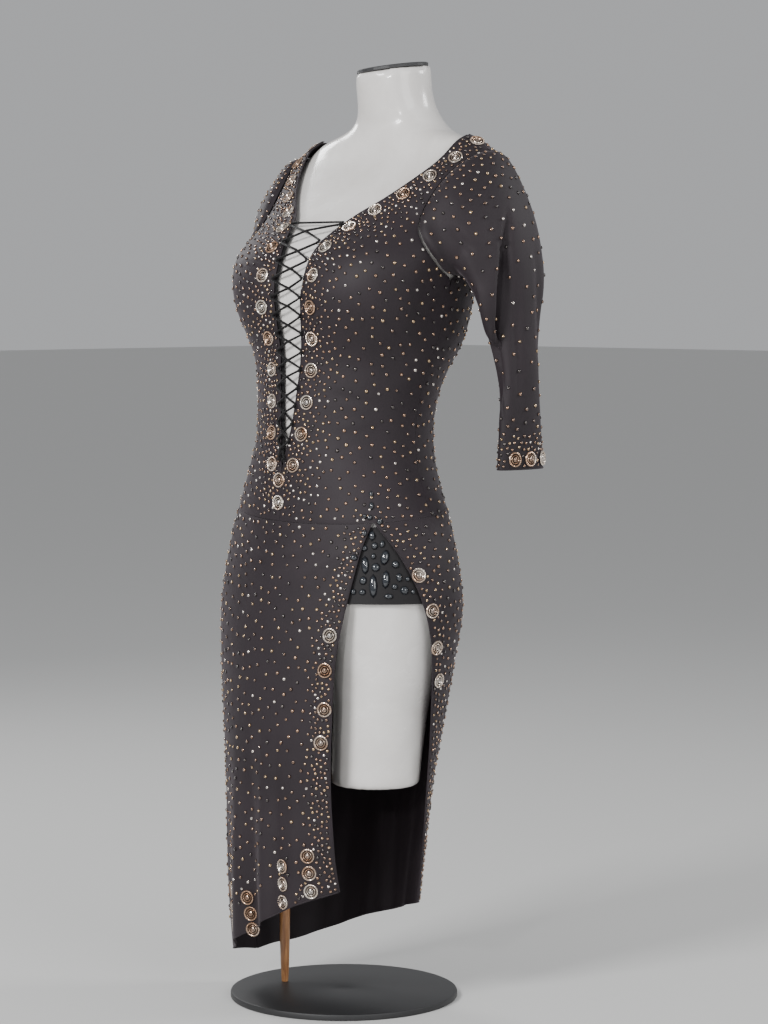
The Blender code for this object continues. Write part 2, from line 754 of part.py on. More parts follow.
def sleeve_grid():
    """Outer face of the wearer's left sleeve, from the armhole to the cuff."""
    front = armhole(1, ARM_ROWS)
    back = armhole(2, ARM_ROWS)
    edge = np.concatenate([back, front[1:-1][::-1]])
    inwards = np.array([90.0, edge[:, 1].mean()]) - edge
    reach = np.linalg.norm(inwards * (METRES_PER_DEGREE, 1.0), axis=1)
    edge = edge + inwards * (SLEEVE_GAP / reach)[:, None]
    grid = [body(edge[:, 0], edge[:, 1], CLOTH + SLEEVE_LIFT)]
    turns = np.arange(SLEEVE_COLUMNS) * 360.0 / SLEEVE_COLUMNS - 90.0
    turn = np.radians(turns)
    pushed = grid[0] + np.array([SLEEVE_PUSH, 0.0, 0.0])
    for outer_x, outer_z, inner_x, inner_z, centre_y, half_depth, trough, share in SLEEVE:
        middle = np.array([(outer_x + inner_x) / 2, centre_y, (outer_z + inner_z) / 2])
        reach = np.array([(outer_x - inner_x) / 2, 0.0, (outer_z - inner_z) / 2])
        ring = middle + np.outer(np.sin(turn), reach)
        ring[:, 1] += half_depth * np.cos(turn)
        ring += share * (pushed - ring)
        apart = ((turns - TROUGH_ANGLE + 180.0) % 360.0 - 180.0) / TROUGH_WIDTH
        pull = trough * np.exp(-(apart**2))
        towards = middle - ring
        towards /= np.linalg.norm(towards, axis=1)[:, None]
        grid.append(ring + towards * pull[:, None])
    return np.array(grid)


def sleeve(name, mirrored):
    """A limp three-quarter sleeve hanging from its armhole."""
    outer = sleeve_grid()
    inner = outer - grid_normals(outer) * CLOTH
    if mirrored:
        outer[..., 0] *= -1
        inner[..., 0] *= -1
    vertices, faces = wall(outer, inner, around=True)
    return add_object(name, vertices, faces, "jersey")


# ---------------------------------------------------------------- lacing

def lace_point(height, x, out):
    """A point of the cord over the front at a height and a distance from the centre."""
    side = side_at(height)
    return body(angle_of(x, side), side, out)[0]


def lacing():
    """One cord crossing the opening from its foot to its top and back down."""
    over = CLOTH + 0.0008 + CORD_D / 2
    heights = np.linspace(LACE_BOTTOM + 0.012, LACE_TOP + 0.004, CROSSINGS + 1)
    edge = smooth(NECKLINE, heights)[:, 0] + 0.0014
    up = []
    down = []
    for index in range(CROSSINGS + 1):
        height = heights[index]
        sign = 1.0 if index % 2 == 0 else -1.0
        for path, side_sign in ((up, sign), (down, -sign)):
            for shift in (-0.0013, 0.0013):
                path.append(lace_point(height + shift, side_sign * edge[index], over))
        if index < CROSSINGS:
            middle = (heights[index] + heights[index + 1]) / 2
            up.append(lace_point(middle, 0.0, over))
            down.append(lace_point(middle, 0.0, over + CORD_D + 0.0006))
    points = up + down[::-1]
    curve = bpy.data.curves.new("lacing_cord", "CURVE")
    curve.dimensions = "3D"
    curve.bevel_depth = CORD_D / 2
    curve.bevel_resolution = 2
    curve.use_fill_caps = True
    spline = curve.splines.new("POLY")
    spline.points.add(len(points) - 1)
    for target, point in zip(spline.points, points):
        target.co = (point[0], point[1], point[2], 1.0)
    curve.materials.append(finish("cord"))
    placed = bpy.data.objects.new("lacing_cord", curve)
    bpy.context.scene.collection.objects.link(placed)
    return placed


# ---------------------------------------------------------------- display form and stand

FORM_SIDES = 32


def form_drop(height):
    """Air between the form and the dress's inner face."""
    heights, drops = np.asarray(FORM_DROP).T
    return np.interp(height, heights, drops)


def form_torso():
    """Pelvis, torso, shoulders and neck as one loft."""
    angle = np.arange(FORM_SIDES) * 360.0 / FORM_SIDES
    turn = np.radians(angle)
    sections = []
    for height, half_width, half_depth in PELVIS:
        x = half_width * np.sin(turn)
        y = -0.005 - half_depth * np.cos(turn)
        sections.append(np.column_stack([x, y, np.full(FORM_SIDES, height)]))
    first = float(side_at(HIP_START))
    for side in np.linspace(first, float(side_at(NECK_TOP)), 34):
        height = np.interp(side, SIDE_FINE, HEIGHT_FINE)
        ring = body(angle, np.full(FORM_SIDES, side), -form_drop(height))
        sections.append(ring)
    tilt = math.tan(math.radians(CAP_TILT))
    top = sections[-1]
    top[:, 2] = NECK_TOP + tilt * top[:, 0] * 0.7 + tilt * (top[:, 1] - 0.085) * 0.7
    return rings("form_body", sections, "form_gloss")


def thigh(name, sign):
    """A thigh stump with its top inside the pelvis."""
    turn = np.radians(np.arange(20) * 18.0)
    sections = []
    for height, centre_x, centre_y, half_width, half_depth in THIGH:
        x = sign * centre_x + half_width * np.sin(turn)
        y = centre_y - half_depth * np.cos(turn)
        sections.append(np.column_stack([x, y, np.full(20, height)]))
    return rings(name, sections, "form_gloss")


def form_body():
    """The torso with both thigh stumps joined on."""
    torso = form_torso()
    for sign, side in ((1.0, "left"), (-1.0, "right")):
        stump = thigh("thigh_" + side, sign)
        join = torso.modifiers.new("thigh_" + side, "BOOLEAN")
        join.operation = "UNION"
        join.object = stump
        stump.hide_render = True
        stump.display_type = "WIRE"
    return torso


def turned(name, profile, centre_x, centre_y, sides, material):
    """A round solid from heights and radii."""
    turn = np.arange(sides) * 2 * math.pi / sides
    sections = []
    for height, radius in profile:
        x = centre_x + radius * np.cos(turn)
        y = centre_y + radius * np.sin(turn)
        sections.append(np.column_stack([x, y, np.full(sides, height)]))
    return rings(name, sections, material)


def neck_cap():
    """A thin dark cap on the tilted neck."""
    turn = np.arange(28) * 2 * math.pi / 28
    tilt = math.tan(math.radians(CAP_TILT))
    sections = []
    for lift_by, radius in ((SEAM, 0.0430), (SEAM + 0.0006, 0.0440), (CAP_THICK, 0.0440), (CAP_THICK + 0.001, 0.0425)):
        x = radius * np.cos(turn)
        y = 0.085 + radius * np.sin(turn)
        z = NECK_TOP + lift_by + tilt * 0.7 * (x + y - 0.085)
        sections.append(np.column_stack([x, y, z]))
    return rings("form_neck_cap", sections, "cap_dark")


def stand():
    """Round base, turned post under the right thigh and the flange that takes it."""
    post_x = -THIGH[0][1]
    post_y = THIGH[0][2]
    thigh_cut = THIGH[0][0]
    base = ((0.0, BASE_RADIUS - BASE_CHAMFER), (BASE_CHAMFER, BASE_RADIUS),
            (BASE_THICK - BASE_CHAMFER, BASE_RADIUS), (BASE_THICK, BASE_RADIUS - BASE_CHAMFER))
    turned("stand_base", base, 0.0, 0.0, 48, "base_black")
    turned("stand_post", POST, post_x, post_y, 16, "wood")
    flange_top = thigh_cut - SEAM
    flange = ((flange_top - FLANGE_THICK, FLANGE_RADIUS), (flange_top, FLANGE_RADIUS))
    turned("stand_flange", flange, post_x, post_y, 24, "steel")


# ---------------------------------------------------------------- medallions

def medallion(name, angle, height):
    """A round sewn-on ornament lying on the cloth at an angle and height."""
    side = float(side_at(height))
    centre = Vector(body(angle, side, CLOTH + MEDALLION_LIFT)[0])
    far = Vector(body(angle, side, CLOTH + MEDALLION_LIFT + 0.01)[0])
    normal = (far - centre).normalized()
    across = normal.cross(Vector((0, 0, 1))).normalized()
    up = across.cross(normal)
    sections = []
    for lift_by, radius in ((0.0, MEDALLION_RADIUS), (MEDALLION_RIM, MEDALLION_RADIUS), (MEDALLION_THICK, MEDALLION_TOP)):
        ring = []
        for corner in range(10):
            turn = corner * math.tau / 10
            offset = across * math.cos(turn) + up * math.sin(turn)
            ring.append(centre + normal * lift_by + offset * radius)
        sections.append(ring)
    return rings(name, sections, "copper_trim")


def edge_rows():
    """Medallions along both laced edges, up the neckline to the shoulders."""
    height = np.linspace(LACE_BOTTOM + MEDALLION_START, SHOULDER_NECK - MEDALLION_END, 400)
    side = side_at(height)
    half = smooth(NECKLINE, height)[:, 0] + EDGE_INSET
    angle = angle_of(half, side)
    line = body(angle, side)
    steps = np.linalg.norm(np.diff(line, axis=0), axis=1)
    length = np.concatenate([[0.0], np.cumsum(steps)])
    number = 0
    at = 0.0
    while at < length[-1]:
        number += 1
        row_angle = float(np.interp(at, length, angle))
        row_height = float(np.interp(at, length, height))
        medallion("medallion_left_%02d" % number, row_angle, row_height)
        medallion("medallion_right_%02d" % number, -row_angle, row_height)
        at += MEDALLION_PITCH


def build():
    front_panel("bodice_front_left", False)
    front_panel("bodice_front_right", True)
    back_panel()
    sleeve("sleeve_left", False)
    sleeve("sleeve_right", True)
    skirt_front()
    skirt_back()
    brief_panel("brief_front", -90.0, 90.0)
    brief_panel("brief_back", 90.0, 270.0)
    brief_gusset()
    lacing()
    form_body()
    neck_cap()
    stand()
    edge_rows()


for old in list(bpy.data.objects):
    bpy.data.objects.remove(old)
build()
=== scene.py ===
import math

import bmesh
import bpy
import numpy as np
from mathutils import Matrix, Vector
from mathutils.bvhtree import BVHTree
from mathutils.kdtree import KDTree


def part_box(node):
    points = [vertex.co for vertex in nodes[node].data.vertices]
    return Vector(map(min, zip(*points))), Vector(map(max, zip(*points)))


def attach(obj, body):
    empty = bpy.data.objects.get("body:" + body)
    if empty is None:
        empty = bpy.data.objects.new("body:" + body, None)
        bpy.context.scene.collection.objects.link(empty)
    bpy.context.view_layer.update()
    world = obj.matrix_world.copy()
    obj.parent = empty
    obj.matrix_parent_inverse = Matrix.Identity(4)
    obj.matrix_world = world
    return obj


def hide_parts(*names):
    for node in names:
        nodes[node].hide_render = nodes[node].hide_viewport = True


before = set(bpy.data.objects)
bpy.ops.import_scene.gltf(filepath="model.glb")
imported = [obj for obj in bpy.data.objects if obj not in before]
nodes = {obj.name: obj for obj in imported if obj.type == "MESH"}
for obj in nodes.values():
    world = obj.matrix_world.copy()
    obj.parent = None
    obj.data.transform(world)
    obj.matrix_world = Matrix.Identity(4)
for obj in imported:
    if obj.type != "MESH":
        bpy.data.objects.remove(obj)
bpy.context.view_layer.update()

# ---------------------------------------------------------------- camera
# A long lens from the wearer's front left, a little above the waist and tipped slightly down.

def new_piece(name, data):
    """An object holding this data, linked into the scene."""
    piece = bpy.data.objects.new(name, data)
    bpy.context.scene.collection.objects.link(piece)
    return piece


camera_data = bpy.data.cameras.new("camera")
camera_data.lens = 109.0
camera_data.sensor_width = 36.0
camera = new_piece("camera", camera_data)
camera.location = (2.708, -2.638, 0.876)
camera.rotation_euler = (math.radians(85.8), 0.0, math.radians(45.0))
bpy.context.scene.camera = camera


# ---------------------------------------------------------------- jersey
# The dress is cut from one heavy stretch jersey: matt, faintly napped, charcoal with a plum cast.
# Its knit shows as a fine vertical rib.

def new_material(name, base, roughness, metallic=0.0, **sockets):
    """A Principled material with its constants set on the shader's own sockets."""
    material = bpy.data.materials.new(name)
    material.use_nodes = True
    shader = material.node_tree.nodes["Principled BSDF"]
    shader.inputs["Base Color"].default_value = (*base, 1.0)
    shader.inputs["Roughness"].default_value = roughness
    shader.inputs["Metallic"].default_value = metallic
    for socket, value in sockets.items():
        shader.inputs[socket.replace("_", " ")].default_value = value
    return material


def add_node(material, kind, **values):
    """A node of this kind with its plain input values set."""
    node = material.node_tree.nodes.new(kind)
    for socket, value in values.items():
        node.inputs[socket.replace("_", " ")].default_value = value
    return node


def join(material, start, start_socket, end, end_socket):
    material.node_tree.links.new(start.outputs[start_socket], end.inputs[end_socket])


def shader_of(material):
    return material.node_tree.nodes["Principled BSDF"]


def two_tones(material, source, first, second):
    """A ramp over a texture's value between two tones, each given as its position and colour."""
    tones = add_node(material, "ShaderNodeValToRGB")
    for stop, (position, colour) in zip(tones.color_ramp.elements, (first, second)):
        stop.position = position
        stop.color = (*colour, 1.0)
    join(material, source, "Fac", tones, "Fac")
    return tones


def bumps(material, source, socket, strength, distance):
    """A texture's value raised as bumps on the surface."""
    bump = add_node(material, "ShaderNodeBump", Strength=strength, Distance=distance)
    join(material, source, socket, bump, "Height")
    join(material, bump, "Normal", shader_of(material), "Normal")


def knit(name, base, dark, roughness, sheen):
    """Stretch jersey: ribbed bump, soft colour drift and a sheen at grazing angles."""
    material = new_material(name, base, roughness, Sheen_Weight=sheen, Sheen_Roughness=0.42,
                            Sheen_Tint=(0.72, 0.62, 0.68, 1.0), Specular_IOR_Level=0.35)
    place = add_node(material, "ShaderNodeTexCoord")
    drift = add_node(material, "ShaderNodeTexNoise", Scale=9.0, Detail=5.0, Roughness=0.6)
    join(material, place, "Object", drift, "Vector")
    tones = two_tones(material, drift, (0.36, dark), (0.68, base))
    join(material, tones, "Color", shader_of(material), "Base Color")
    squeeze = add_node(material, "ShaderNodeMapping", Scale=(1.0, 1.0, 0.22))
    join(material, place, "Object", squeeze, "Vector")
    rib = add_node(material, "ShaderNodeTexNoise", Scale=900.0, Detail=2.0, Roughness=0.7)
    join(material, squeeze, "Vector", rib, "Vector")
    pull = add_node(material, "ShaderNodeTexNoise", Scale=70.0, Detail=3.0, Roughness=0.5)
    join(material, squeeze, "Vector", pull, "Vector")
    both = add_node(material, "ShaderNodeMath")
    both.operation = "ADD"
    join(material, rib, "Fac", both, 0)
    join(material, pull, "Fac", both, 1)
    bumps(material, both, "Value", 0.35, 0.0006)
    return material


jersey = knit("jersey", (0.0205, 0.0140, 0.0180), (0.0135, 0.0090, 0.0118), 0.64, 0.14)


def outer_skin(name):
    """The outside face of a cloth node as an open quad mesh object."""
    shell = bmesh.new()
    shell.from_mesh(nodes[name].data)
    bmesh.ops.remove_doubles(shell, verts=shell.verts, dist=1e-5)
    shell.normal_update()
    # faces that meet at a gentle angle belong together, so both sides and the rim fall apart
    left = set(shell.faces)
    sides = []
    while left:
        patch = [left.pop()]
        for face in patch:
            for edge in face.edges:
                for other in edge.link_faces:
                    if other in left and face.normal.dot(other.normal) > 0.5:
                        left.discard(other)
                        patch.append(other)
        sides.append(patch)
    sides.sort(key=lambda patch: -sum(face.calc_area() for face in patch))
    if name.startswith("sleeve"):
        low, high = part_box(name)
        axis = (low + high) / 2
    else:
        axis = Vector((0.0, 0.01, 0.0))

    def facing_out(patch):
        total = 0.0
        for face in patch:
            away = face.calc_center_median() - axis
            away.z = 0.0
            total += face.normal.dot(away.normalized()) * face.calc_area()
        return total

    outside = set(max(sides[:2], key=facing_out))
    bmesh.ops.delete(shell, geom=[face for face in shell.faces if face not in outside], context="FACES")
    bmesh.ops.join_triangles(shell, faces=shell.faces, angle_face_threshold=math.pi,
                             angle_shape_threshold=math.pi)
    mesh = bpy.data.meshes.new(name + "_cloth")
    shell.to_mesh(mesh)
    shell.free()
    return new_piece(name + "_cloth", mesh)


def pick(piece):
    """Only this object selected and active."""
    bpy.ops.object.select_all(action="DESELECT")
    piece.select_set(True)
    bpy.context.view_layer.objects.active = piece


def apply(piece, kind, **settings):
    """A modifier put on and applied."""
    modifier = piece.modifiers.new(kind.lower(), kind)
    for setting, value in settings.items():
        setattr(modifier, setting, value)
    pick(piece)
    bpy.ops.object.modifier_apply(modifier=modifier.name)


def points_of(piece):
    """Vertex positions and normals as arrays."""
    count = len(piece.data.vertices)
    place = np.empty(count * 3)
    normal = np.empty(count * 3)
    piece.data.vertices.foreach_get("co", place)
    piece.data.vertices.foreach_get("normal", normal)
    return place.reshape(-1, 3), normal.reshape(-1, 3)


def move_out(piece, distance):
    """Every vertex moved along its normal by its own distance."""
    place, normal = points_of(piece)
    piece.data.vertices.foreach_set("co", (place + normal * distance[:, None]).ravel())
    piece.data.update()


def crease(place, path, height, width, sharp=1.0):
    """A soft ridge (or trough, height below 0) along a path through the cloth, fading at both ends."""
    path = np.asarray(path, float)
    steps = np.linspace(0.0, len(path) - 1.0, 40)
    low = np.clip(steps.astype(int), 0, len(path) - 2)
    share = (steps - low)[:, None]
    line = path[low] * (1 - share) + path[low + 1] * share
    for _ in range(12):
        line[1:-1] = (line[:-2] + line[2:] + 2 * line[1:-1]) / 4
    apart = np.linalg.norm(place[:, None, :] - line[None, :, :], axis=2)
    nearest = apart.argmin(axis=1)
    fade = np.sin(np.pi * (nearest + 0.5) / len(line)) ** 0.7
    return height * fade * np.exp(-((apart.min(axis=1) / width) ** 2) ** sharp)


def rim_distance(piece, place, keep=None):
    """How far each vertex lies from the open edges of its piece, or from those that pass a test."""
    work = bmesh.new()
    work.from_mesh(piece.data)
    ends = {v.index: v.co.copy() for e in work.edges if e.is_boundary for v in e.verts}
    work.free()
    ends = [co for co in ends.values() if keep is None or keep(co)]
    tree = KDTree(len(ends))
    for index, co in enumerate(ends):
        tree.insert(co, index)
    tree.balance()
    return np.array([tree.find(Vector(p))[2] for p in place])


def seam_roll(piece, place):
    """The cloth dips a little along every seam and edge, where it is stitched down."""
    return -0.0005 * np.exp(-((rim_distance(piece, place) / 0.0022) ** 2))


def smooth(piece, degrees):
    """Shaded smooth, except over edges sharper than this."""
    pick(piece)
    bpy.ops.object.shade_smooth_by_angle(angle=math.radians(degrees))


def cover(piece, material):
    """The piece wears this material and no other."""
    piece.data.materials.clear()
    piece.data.materials.append(material)


def finish_cloth(piece, node, material, thickness=0.0012):
    """Gives the skin its thickness, its material and its place in the frame."""
    apply(piece, "SOLIDIFY", thickness=thickness, offset=-1.0, use_even_offset=False)
    cover(piece, material)
    smooth(piece, 50)
    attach(piece, "root")
    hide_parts(node)


def subdivided(name, levels):
    piece = outer_skin(name)
    apply(piece, "SUBSURF", levels=levels, render_levels=levels, boundary_smooth="PRESERVE_CORNERS")
    return piece


# ---------------------------------------------------------------- bodice
# Two fronts that meet in a laced opening, and one back. They are cut to stretch over the form, so the
# cloth lies close, with short drag lines at the waist and from the underarms to the cups.

open_skins = {}


def keep_skin(name, piece):
    """Remembers the open surface, for what is sewn or glued on it later."""
    place, normal = points_of(piece)
    piece.data.calc_loop_triangles()
    triangles = np.array([t.vertices[:] for t in piece.data.loop_triangles])
    edges = bmesh.new()
    edges.from_mesh(piece.data)
    rim = [[v.co.copy() for v in e.verts] for e in edges.edges if e.is_boundary]
    edges.free()
    tree = BVHTree.FromPolygons([Vector(p) for p in place], [tuple(t) for t in triangles])
    open_skins[name] = {"place": place, "normal": normal, "triangles": triangles, "rim": rim, "tree": tree}


def waist_creases(place, side):
    """Short drag lines round the waist and under the bust, on one side of the body."""
    total = np.zeros(len(place))
    rows = (
        # start x, y, z, end x, y, z, height
        (0.100, -0.050, 0.735, 0.060, -0.082, 0.742, -0.0009),
        (0.106, -0.040, 0.712, 0.064, -0.080, 0.703, 0.0008),
        (0.110, -0.034, 0.690, 0.070, -0.078, 0.676, -0.0009),
        (0.116, -0.036, 0.664, 0.072, -0.082, 0.652, 0.0009),
        (0.128, -0.026, 0.640, 0.086, -0.078, 0.622, -0.0008),
        (0.132, -0.006, 0.872, 0.104, -0.052, 0.846, -0.0010),
        (0.130, -0.012, 0.846, 0.100, -0.052, 0.820, 0.0008),
        (0.128, -0.020, 0.920, 0.100, -0.048, 0.934, -0.0009),
        (0.120, 0.050, 0.720, 0.090, 0.078, 0.708, -0.0010),
        (0.116, 0.050, 0.694, 0.080, 0.078, 0.690, 0.0010),
        (0.122, 0.050, 0.668, 0.084, 0.080, 0.660, -0.0010),
        (0.112, 0.078, 0.742, 0.060, 0.098, 0.736, 0.0009),
        (0.128, 0.116, 0.905, 0.096, 0.146, 0.880, -0.0011),
    )
    for ax, ay, az, bx, by, bz, height in rows:
        start = (side * ax, ay, az)
        end = (side * bx, by, bz + 0.004 * side)
        total += crease(place, (start, end), height, 0.0055)
    return total


for name, levels in (("bodice_front_left", 3), ("bodice_front_right", 3), ("bodice_back", 2)):
    piece = subdivided(name, levels)
    place, _ = points_of(piece)
    move_out(piece, waist_creases(place, 1.0) + waist_creases(place, -1.0) + seam_roll(piece, place))
    keep_skin(name, piece)
    finish_cloth(piece, name, jersey)


# ---------------------------------------------------------------- sleeves
# Three-quarter sleeves set into the armholes. Nothing fills them, so each hangs flat below a long
# fold that starts at the cap, with a slack flap in front of it.

# The long fold, from its point at the cap: height, its sharp front edge (y), its width, its depth
SLEEVE_FOLD = (
    (0.968, 0.0770, 0.0030, 0.0000),
    (0.940, 0.0690, 0.0080, 0.0060),
    (0.905, 0.0590, 0.0140, 0.0145),
    (0.869, 0.0520, 0.0190, 0.0185),
    (0.830, 0.0510, 0.0180, 0.0180),
    (0.795, 0.0540, 0.0140, 0.0135),
    (0.760, 0.0600, 0.0090, 0.0065),
    (0.715, 0.0640, 0.0060, 0.0000),
)


def long_fold(place, side, strength):
    """The front of the sleeve laps over a deep trough and the cloth climbs out of it slowly behind."""
    height, edge, width, depth = np.array(SLEEVE_FOLD)[::-1].T
    z = place[:, 2]
    edge = np.interp(z, height, edge)
    width = np.interp(z, height, width)
    depth = np.interp(z, height, depth, left=0.0, right=0.0)
    across = (place[:, 1] - edge) / width
    drop = np.clip(across / 0.22, 0.0, 1.0)
    drop = drop * drop * (3 - 2 * drop)
    climb = np.clip((across - 0.22) / 1.25, 0.0, 1.0)
    climb = climb * climb * (3 - 2 * climb)
    lip = 0.22 * np.exp(-((across + 0.35) / 0.55) ** 2) * (across < 0.1)
    outer = side * place[:, 0] > 0.192
    return outer * strength * depth * (lip - drop * (1 - climb))


SLEEVE_CREASES = (
    # path (x, y, z), height, width
    (((0.172, 0.008, 0.944), (0.184, 0.018, 0.926), (0.193, 0.030, 0.914)), -0.0030, 0.0058),
    (((0.184, 0.018, 0.926), (0.181, 0.014, 0.905), (0.186, 0.020, 0.880)), -0.0026, 0.0060),
    (((0.186, 0.026, 0.905), (0.194, 0.040, 0.860), (0.197, 0.052, 0.790)), 0.0022, 0.0090),
    (((0.212, 0.086, 0.890), (0.214, 0.083, 0.820), (0.214, 0.082, 0.735)), -0.0012, 0.0036),
    (((0.206, 0.120, 0.930), (0.210, 0.122, 0.850), (0.206, 0.120, 0.780)), -0.0030, 0.0085),
    (((0.190, 0.140, 0.910), (0.200, 0.134, 0.850)), 0.0020, 0.0085),
    (((0.208, 0.080, 0.735), (0.208, 0.074, 0.680)), -0.0010, 0.0055),
    (((0.214, 0.104, 0.725), (0.214, 0.108, 0.672)), 0.0009, 0.0060),
    (((0.160, 0.004, 0.990), (0.188, 0.030, 0.960)), 0.0012, 0.0100),
)
for name, side, strength in (("sleeve_left", 1.0, 1.0), ("sleeve_right", -1.0, 0.75)):
    piece = subdivided(name, 3)
    place, _ = points_of(piece)
    relief = long_fold(place, side, strength) + seam_roll(piece, place)
    relief -= 0.0017 * np.exp(-((rim_distance(piece, place, lambda co: co.z > 0.72) / 0.0060) ** 2))
    for path, height, width in SLEEVE_CREASES:
        relief += crease(place, [(side * x, y, z) for x, y, z in path], height * strength, width)
    move_out(piece, relief)
    apply(piece, "SMOOTH", factor=0.4, iterations=2)
    keep_skin(name, piece)
    finish_cloth(piece, name, jersey)


# ---------------------------------------------------------------- skirt
# Front and back meet in the right side seam and part in the high slit on the left. The weight of the
# stones pulls the low side down, so soft vertical folds open towards the slanted hem.

SKIRT_CREASES = (
    # start x, y, z, end x, y, z, height, width
    (-0.100, -0.086, 0.560, 0.010, -0.116, 0.556, -0.0011, 0.0060),
    (-0.060, -0.108, 0.545, 0.040, -0.112, 0.560, 0.0012, 0.0060),
    (-0.020, -0.116, 0.528, 0.078, -0.100, 0.562, -0.0013, 0.0065),
    (0.020, -0.118, 0.516, 0.098, -0.090, 0.566, 0.0014, 0.0065),
    (0.050, -0.114, 0.500, 0.104, -0.086, 0.552, -0.0013, 0.0060),
    (0.070, -0.108, 0.470, 0.104, -0.088, 0.520, 0.0011, 0.0060),
    (-0.150, -0.040, 0.580, -0.100, -0.090, 0.572, 0.0012, 0.0060),
    (-0.160, 0.010, 0.566, -0.120, 0.070, 0.560, -0.0012, 0.0060),
    (0.150, 0.060, 0.566, 0.100, 0.094, 0.572, 0.0012, 0.0065),
    (0.120, 0.086, 0.540, 0.030, 0.112, 0.560, -0.0012, 0.0065),
    (-0.030, 0.114, 0.566, -0.110, 0.090, 0.556, 0.0012, 0.0065),
)
HANGING_FOLDS = (
    # x at the top, x at the hem, top of the fold, height, width, front (-1) or back (1)
    (-0.100, -0.112, 0.300, 0.0030, 0.0110, -1),
    (-0.082, -0.092, 0.260, -0.0030, 0.0090, -1),
    (-0.058, -0.062, 0.360, 0.0045, 0.0110, -1),
    (-0.026, -0.022, 0.400, -0.0075, 0.0110, -1),
    (-0.002, 0.002, 0.420, 0.0050, 0.0090, -1),
    (0.020, 0.027, 0.380, -0.0070, 0.0080, -1),
    (0.042, 0.050, 0.340, 0.0040, 0.0080, -1),
    (0.064, 0.072, 0.280, -0.0030, 0.0070, -1),
    (-0.090, -0.098, 0.320, -0.0040, 0.0120, 1),
    (-0.050, -0.054, 0.400, 0.0045, 0.0120, 1),
    (-0.016, -0.014, 0.360, -0.0055, 0.0110, 1),
    (0.022, 0.026, 0.400, 0.0045, 0.0110, 1),
    (0.062, 0.068, 0.330, -0.0045, 0.0110, 1),
)


def hanging_folds(place, front):
    """Vertical folds that open from nothing to their full height at the hem."""
    total = np.zeros(len(place))
    z = place[:, 2]
    for top_x, hem_x, top_z, height, width, face in HANGING_FOLDS:
        if (face < 0) != front:
            continue
        down = np.clip((top_z - z) / (top_z - 0.07), 0.0, 1.0)
        middle = top_x + (hem_x - top_x) * down
        facing = np.where(front, place[:, 1] < -0.02, place[:, 1] > -0.03)
        across = (place[:, 0] - middle) / (width * (0.7 + 0.5 * down))
        total += facing * height * down**1.3 * np.exp(-(across**2))
    return total


for name, front in (("skirt_front", True), ("skirt_back", False)):
    piece = subdivided(name, 3)
    place, _ = points_of(piece)
    relief = hanging_folds(place, front) + seam_roll(piece, place)
    for ax, ay, az, bx, by, bz, height, width in SKIRT_CREASES:
        relief += crease(place, ((ax, ay, az), (bx, by, bz)), height, width)
    move_out(piece, relief)
    keep_skin(name, piece)
    finish_cloth(piece, name, jersey)


# ---------------------------------------------------------------- brief
# A plain black brief shows in the slit: front, back and gusset.

brief_jersey = knit("brief_jersey", (0.0085, 0.0070, 0.0082), (0.0060, 0.0050, 0.0058), 0.64, 0.06)
for name in ("brief_front", "brief_back"):
    piece = subdivided(name, 2)
    keep_skin(name, piece)
    finish_cloth(piece, name, brief_jersey, 0.0011)


def welded_copy(name, node, reach=1e-5):
    """A piece from a CAD node's own mesh, with the corners that its faces share made one."""
    piece = new_piece(name, nodes[node].data.copy())
    work = bmesh.new()
    work.from_mesh(piece.data)
    bmesh.ops.remove_doubles(work, verts=work.verts, dist=reach)
    work.to_mesh(piece.data)
    work.free()
    return piece


gusset = welded_copy("brief_gusset_cloth", "brief_gusset")
cover(gusset, brief_jersey)
smooth(gusset, 50)
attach(gusset, "root")
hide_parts("brief_gusset")


# ---------------------------------------------------------------- display form
# A limbless display form in glossy white fibreglass: neck, shoulders, torso and two cut thighs.
# The dress covers most of it. Its gloss has faint smears.

form = welded_copy("form_shell", "form_body")
apply(form, "REMESH", mode="VOXEL", voxel_size=0.0048)
place, _ = points_of(form)
form_low, form_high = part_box("form_body")
loose = form.vertex_groups.new(name="loose")
# the cut faces of the thighs and the neck keep their edges: smoothing fades out over this height
fade = 0.030
from_cut = np.minimum(place[:, 2] - form_low.z, form_high.z - 0.010 - place[:, 2]) / fade
for index, share in enumerate(np.clip(from_cut, 0.04, 1.0)):
    loose.add([index], float(share), "REPLACE")
apply(form, "SMOOTH", factor=0.5, iterations=34, vertex_group="loose")
gloss = new_material("form_gloss", (0.80, 0.775, 0.75), 0.20, Coat_Weight=0.35, Coat_Roughness=0.08)
where = add_node(gloss, "ShaderNodeTexCoord")
smear = add_node(gloss, "ShaderNodeTexNoise", Scale=6.0, Detail=6.0, Roughness=0.65, Distortion=0.4)
join(gloss, where, "Object", smear, "Vector")
tones = two_tones(gloss, smear, (0.32, (0.66, 0.63, 0.60)), (0.60, (0.82, 0.795, 0.77)))
join(gloss, tones, "Color", shader_of(gloss), "Base Color")
scuff = add_node(gloss, "ShaderNodeMapRange", From_Min=0.3, From_Max=0.7, To_Min=0.14, To_Max=0.34)
join(gloss, smear, "Fac", scuff, "Value")
join(gloss, scuff, "Result", shader_of(gloss), "Roughness")
cover(form, gloss)
pick(form)
bpy.ops.object.shade_smooth()
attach(form, "root")
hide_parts("form_body")

cap_dark = new_material("cap_dark", (0.030, 0.030, 0.032), 0.42)
grain = add_node(cap_dark, "ShaderNodeTexNoise", Scale=300.0, Detail=2.0)
bumps(cap_dark, grain, "Fac", 0.2, 0.0004)
cover(nodes["form_neck_cap"], cap_dark)


# ---------------------------------------------------------------- stand
# A turned wooden post under the right thigh takes the form, with a steel flange on the thigh's cut
# face and a round steel base plate painted matt black.

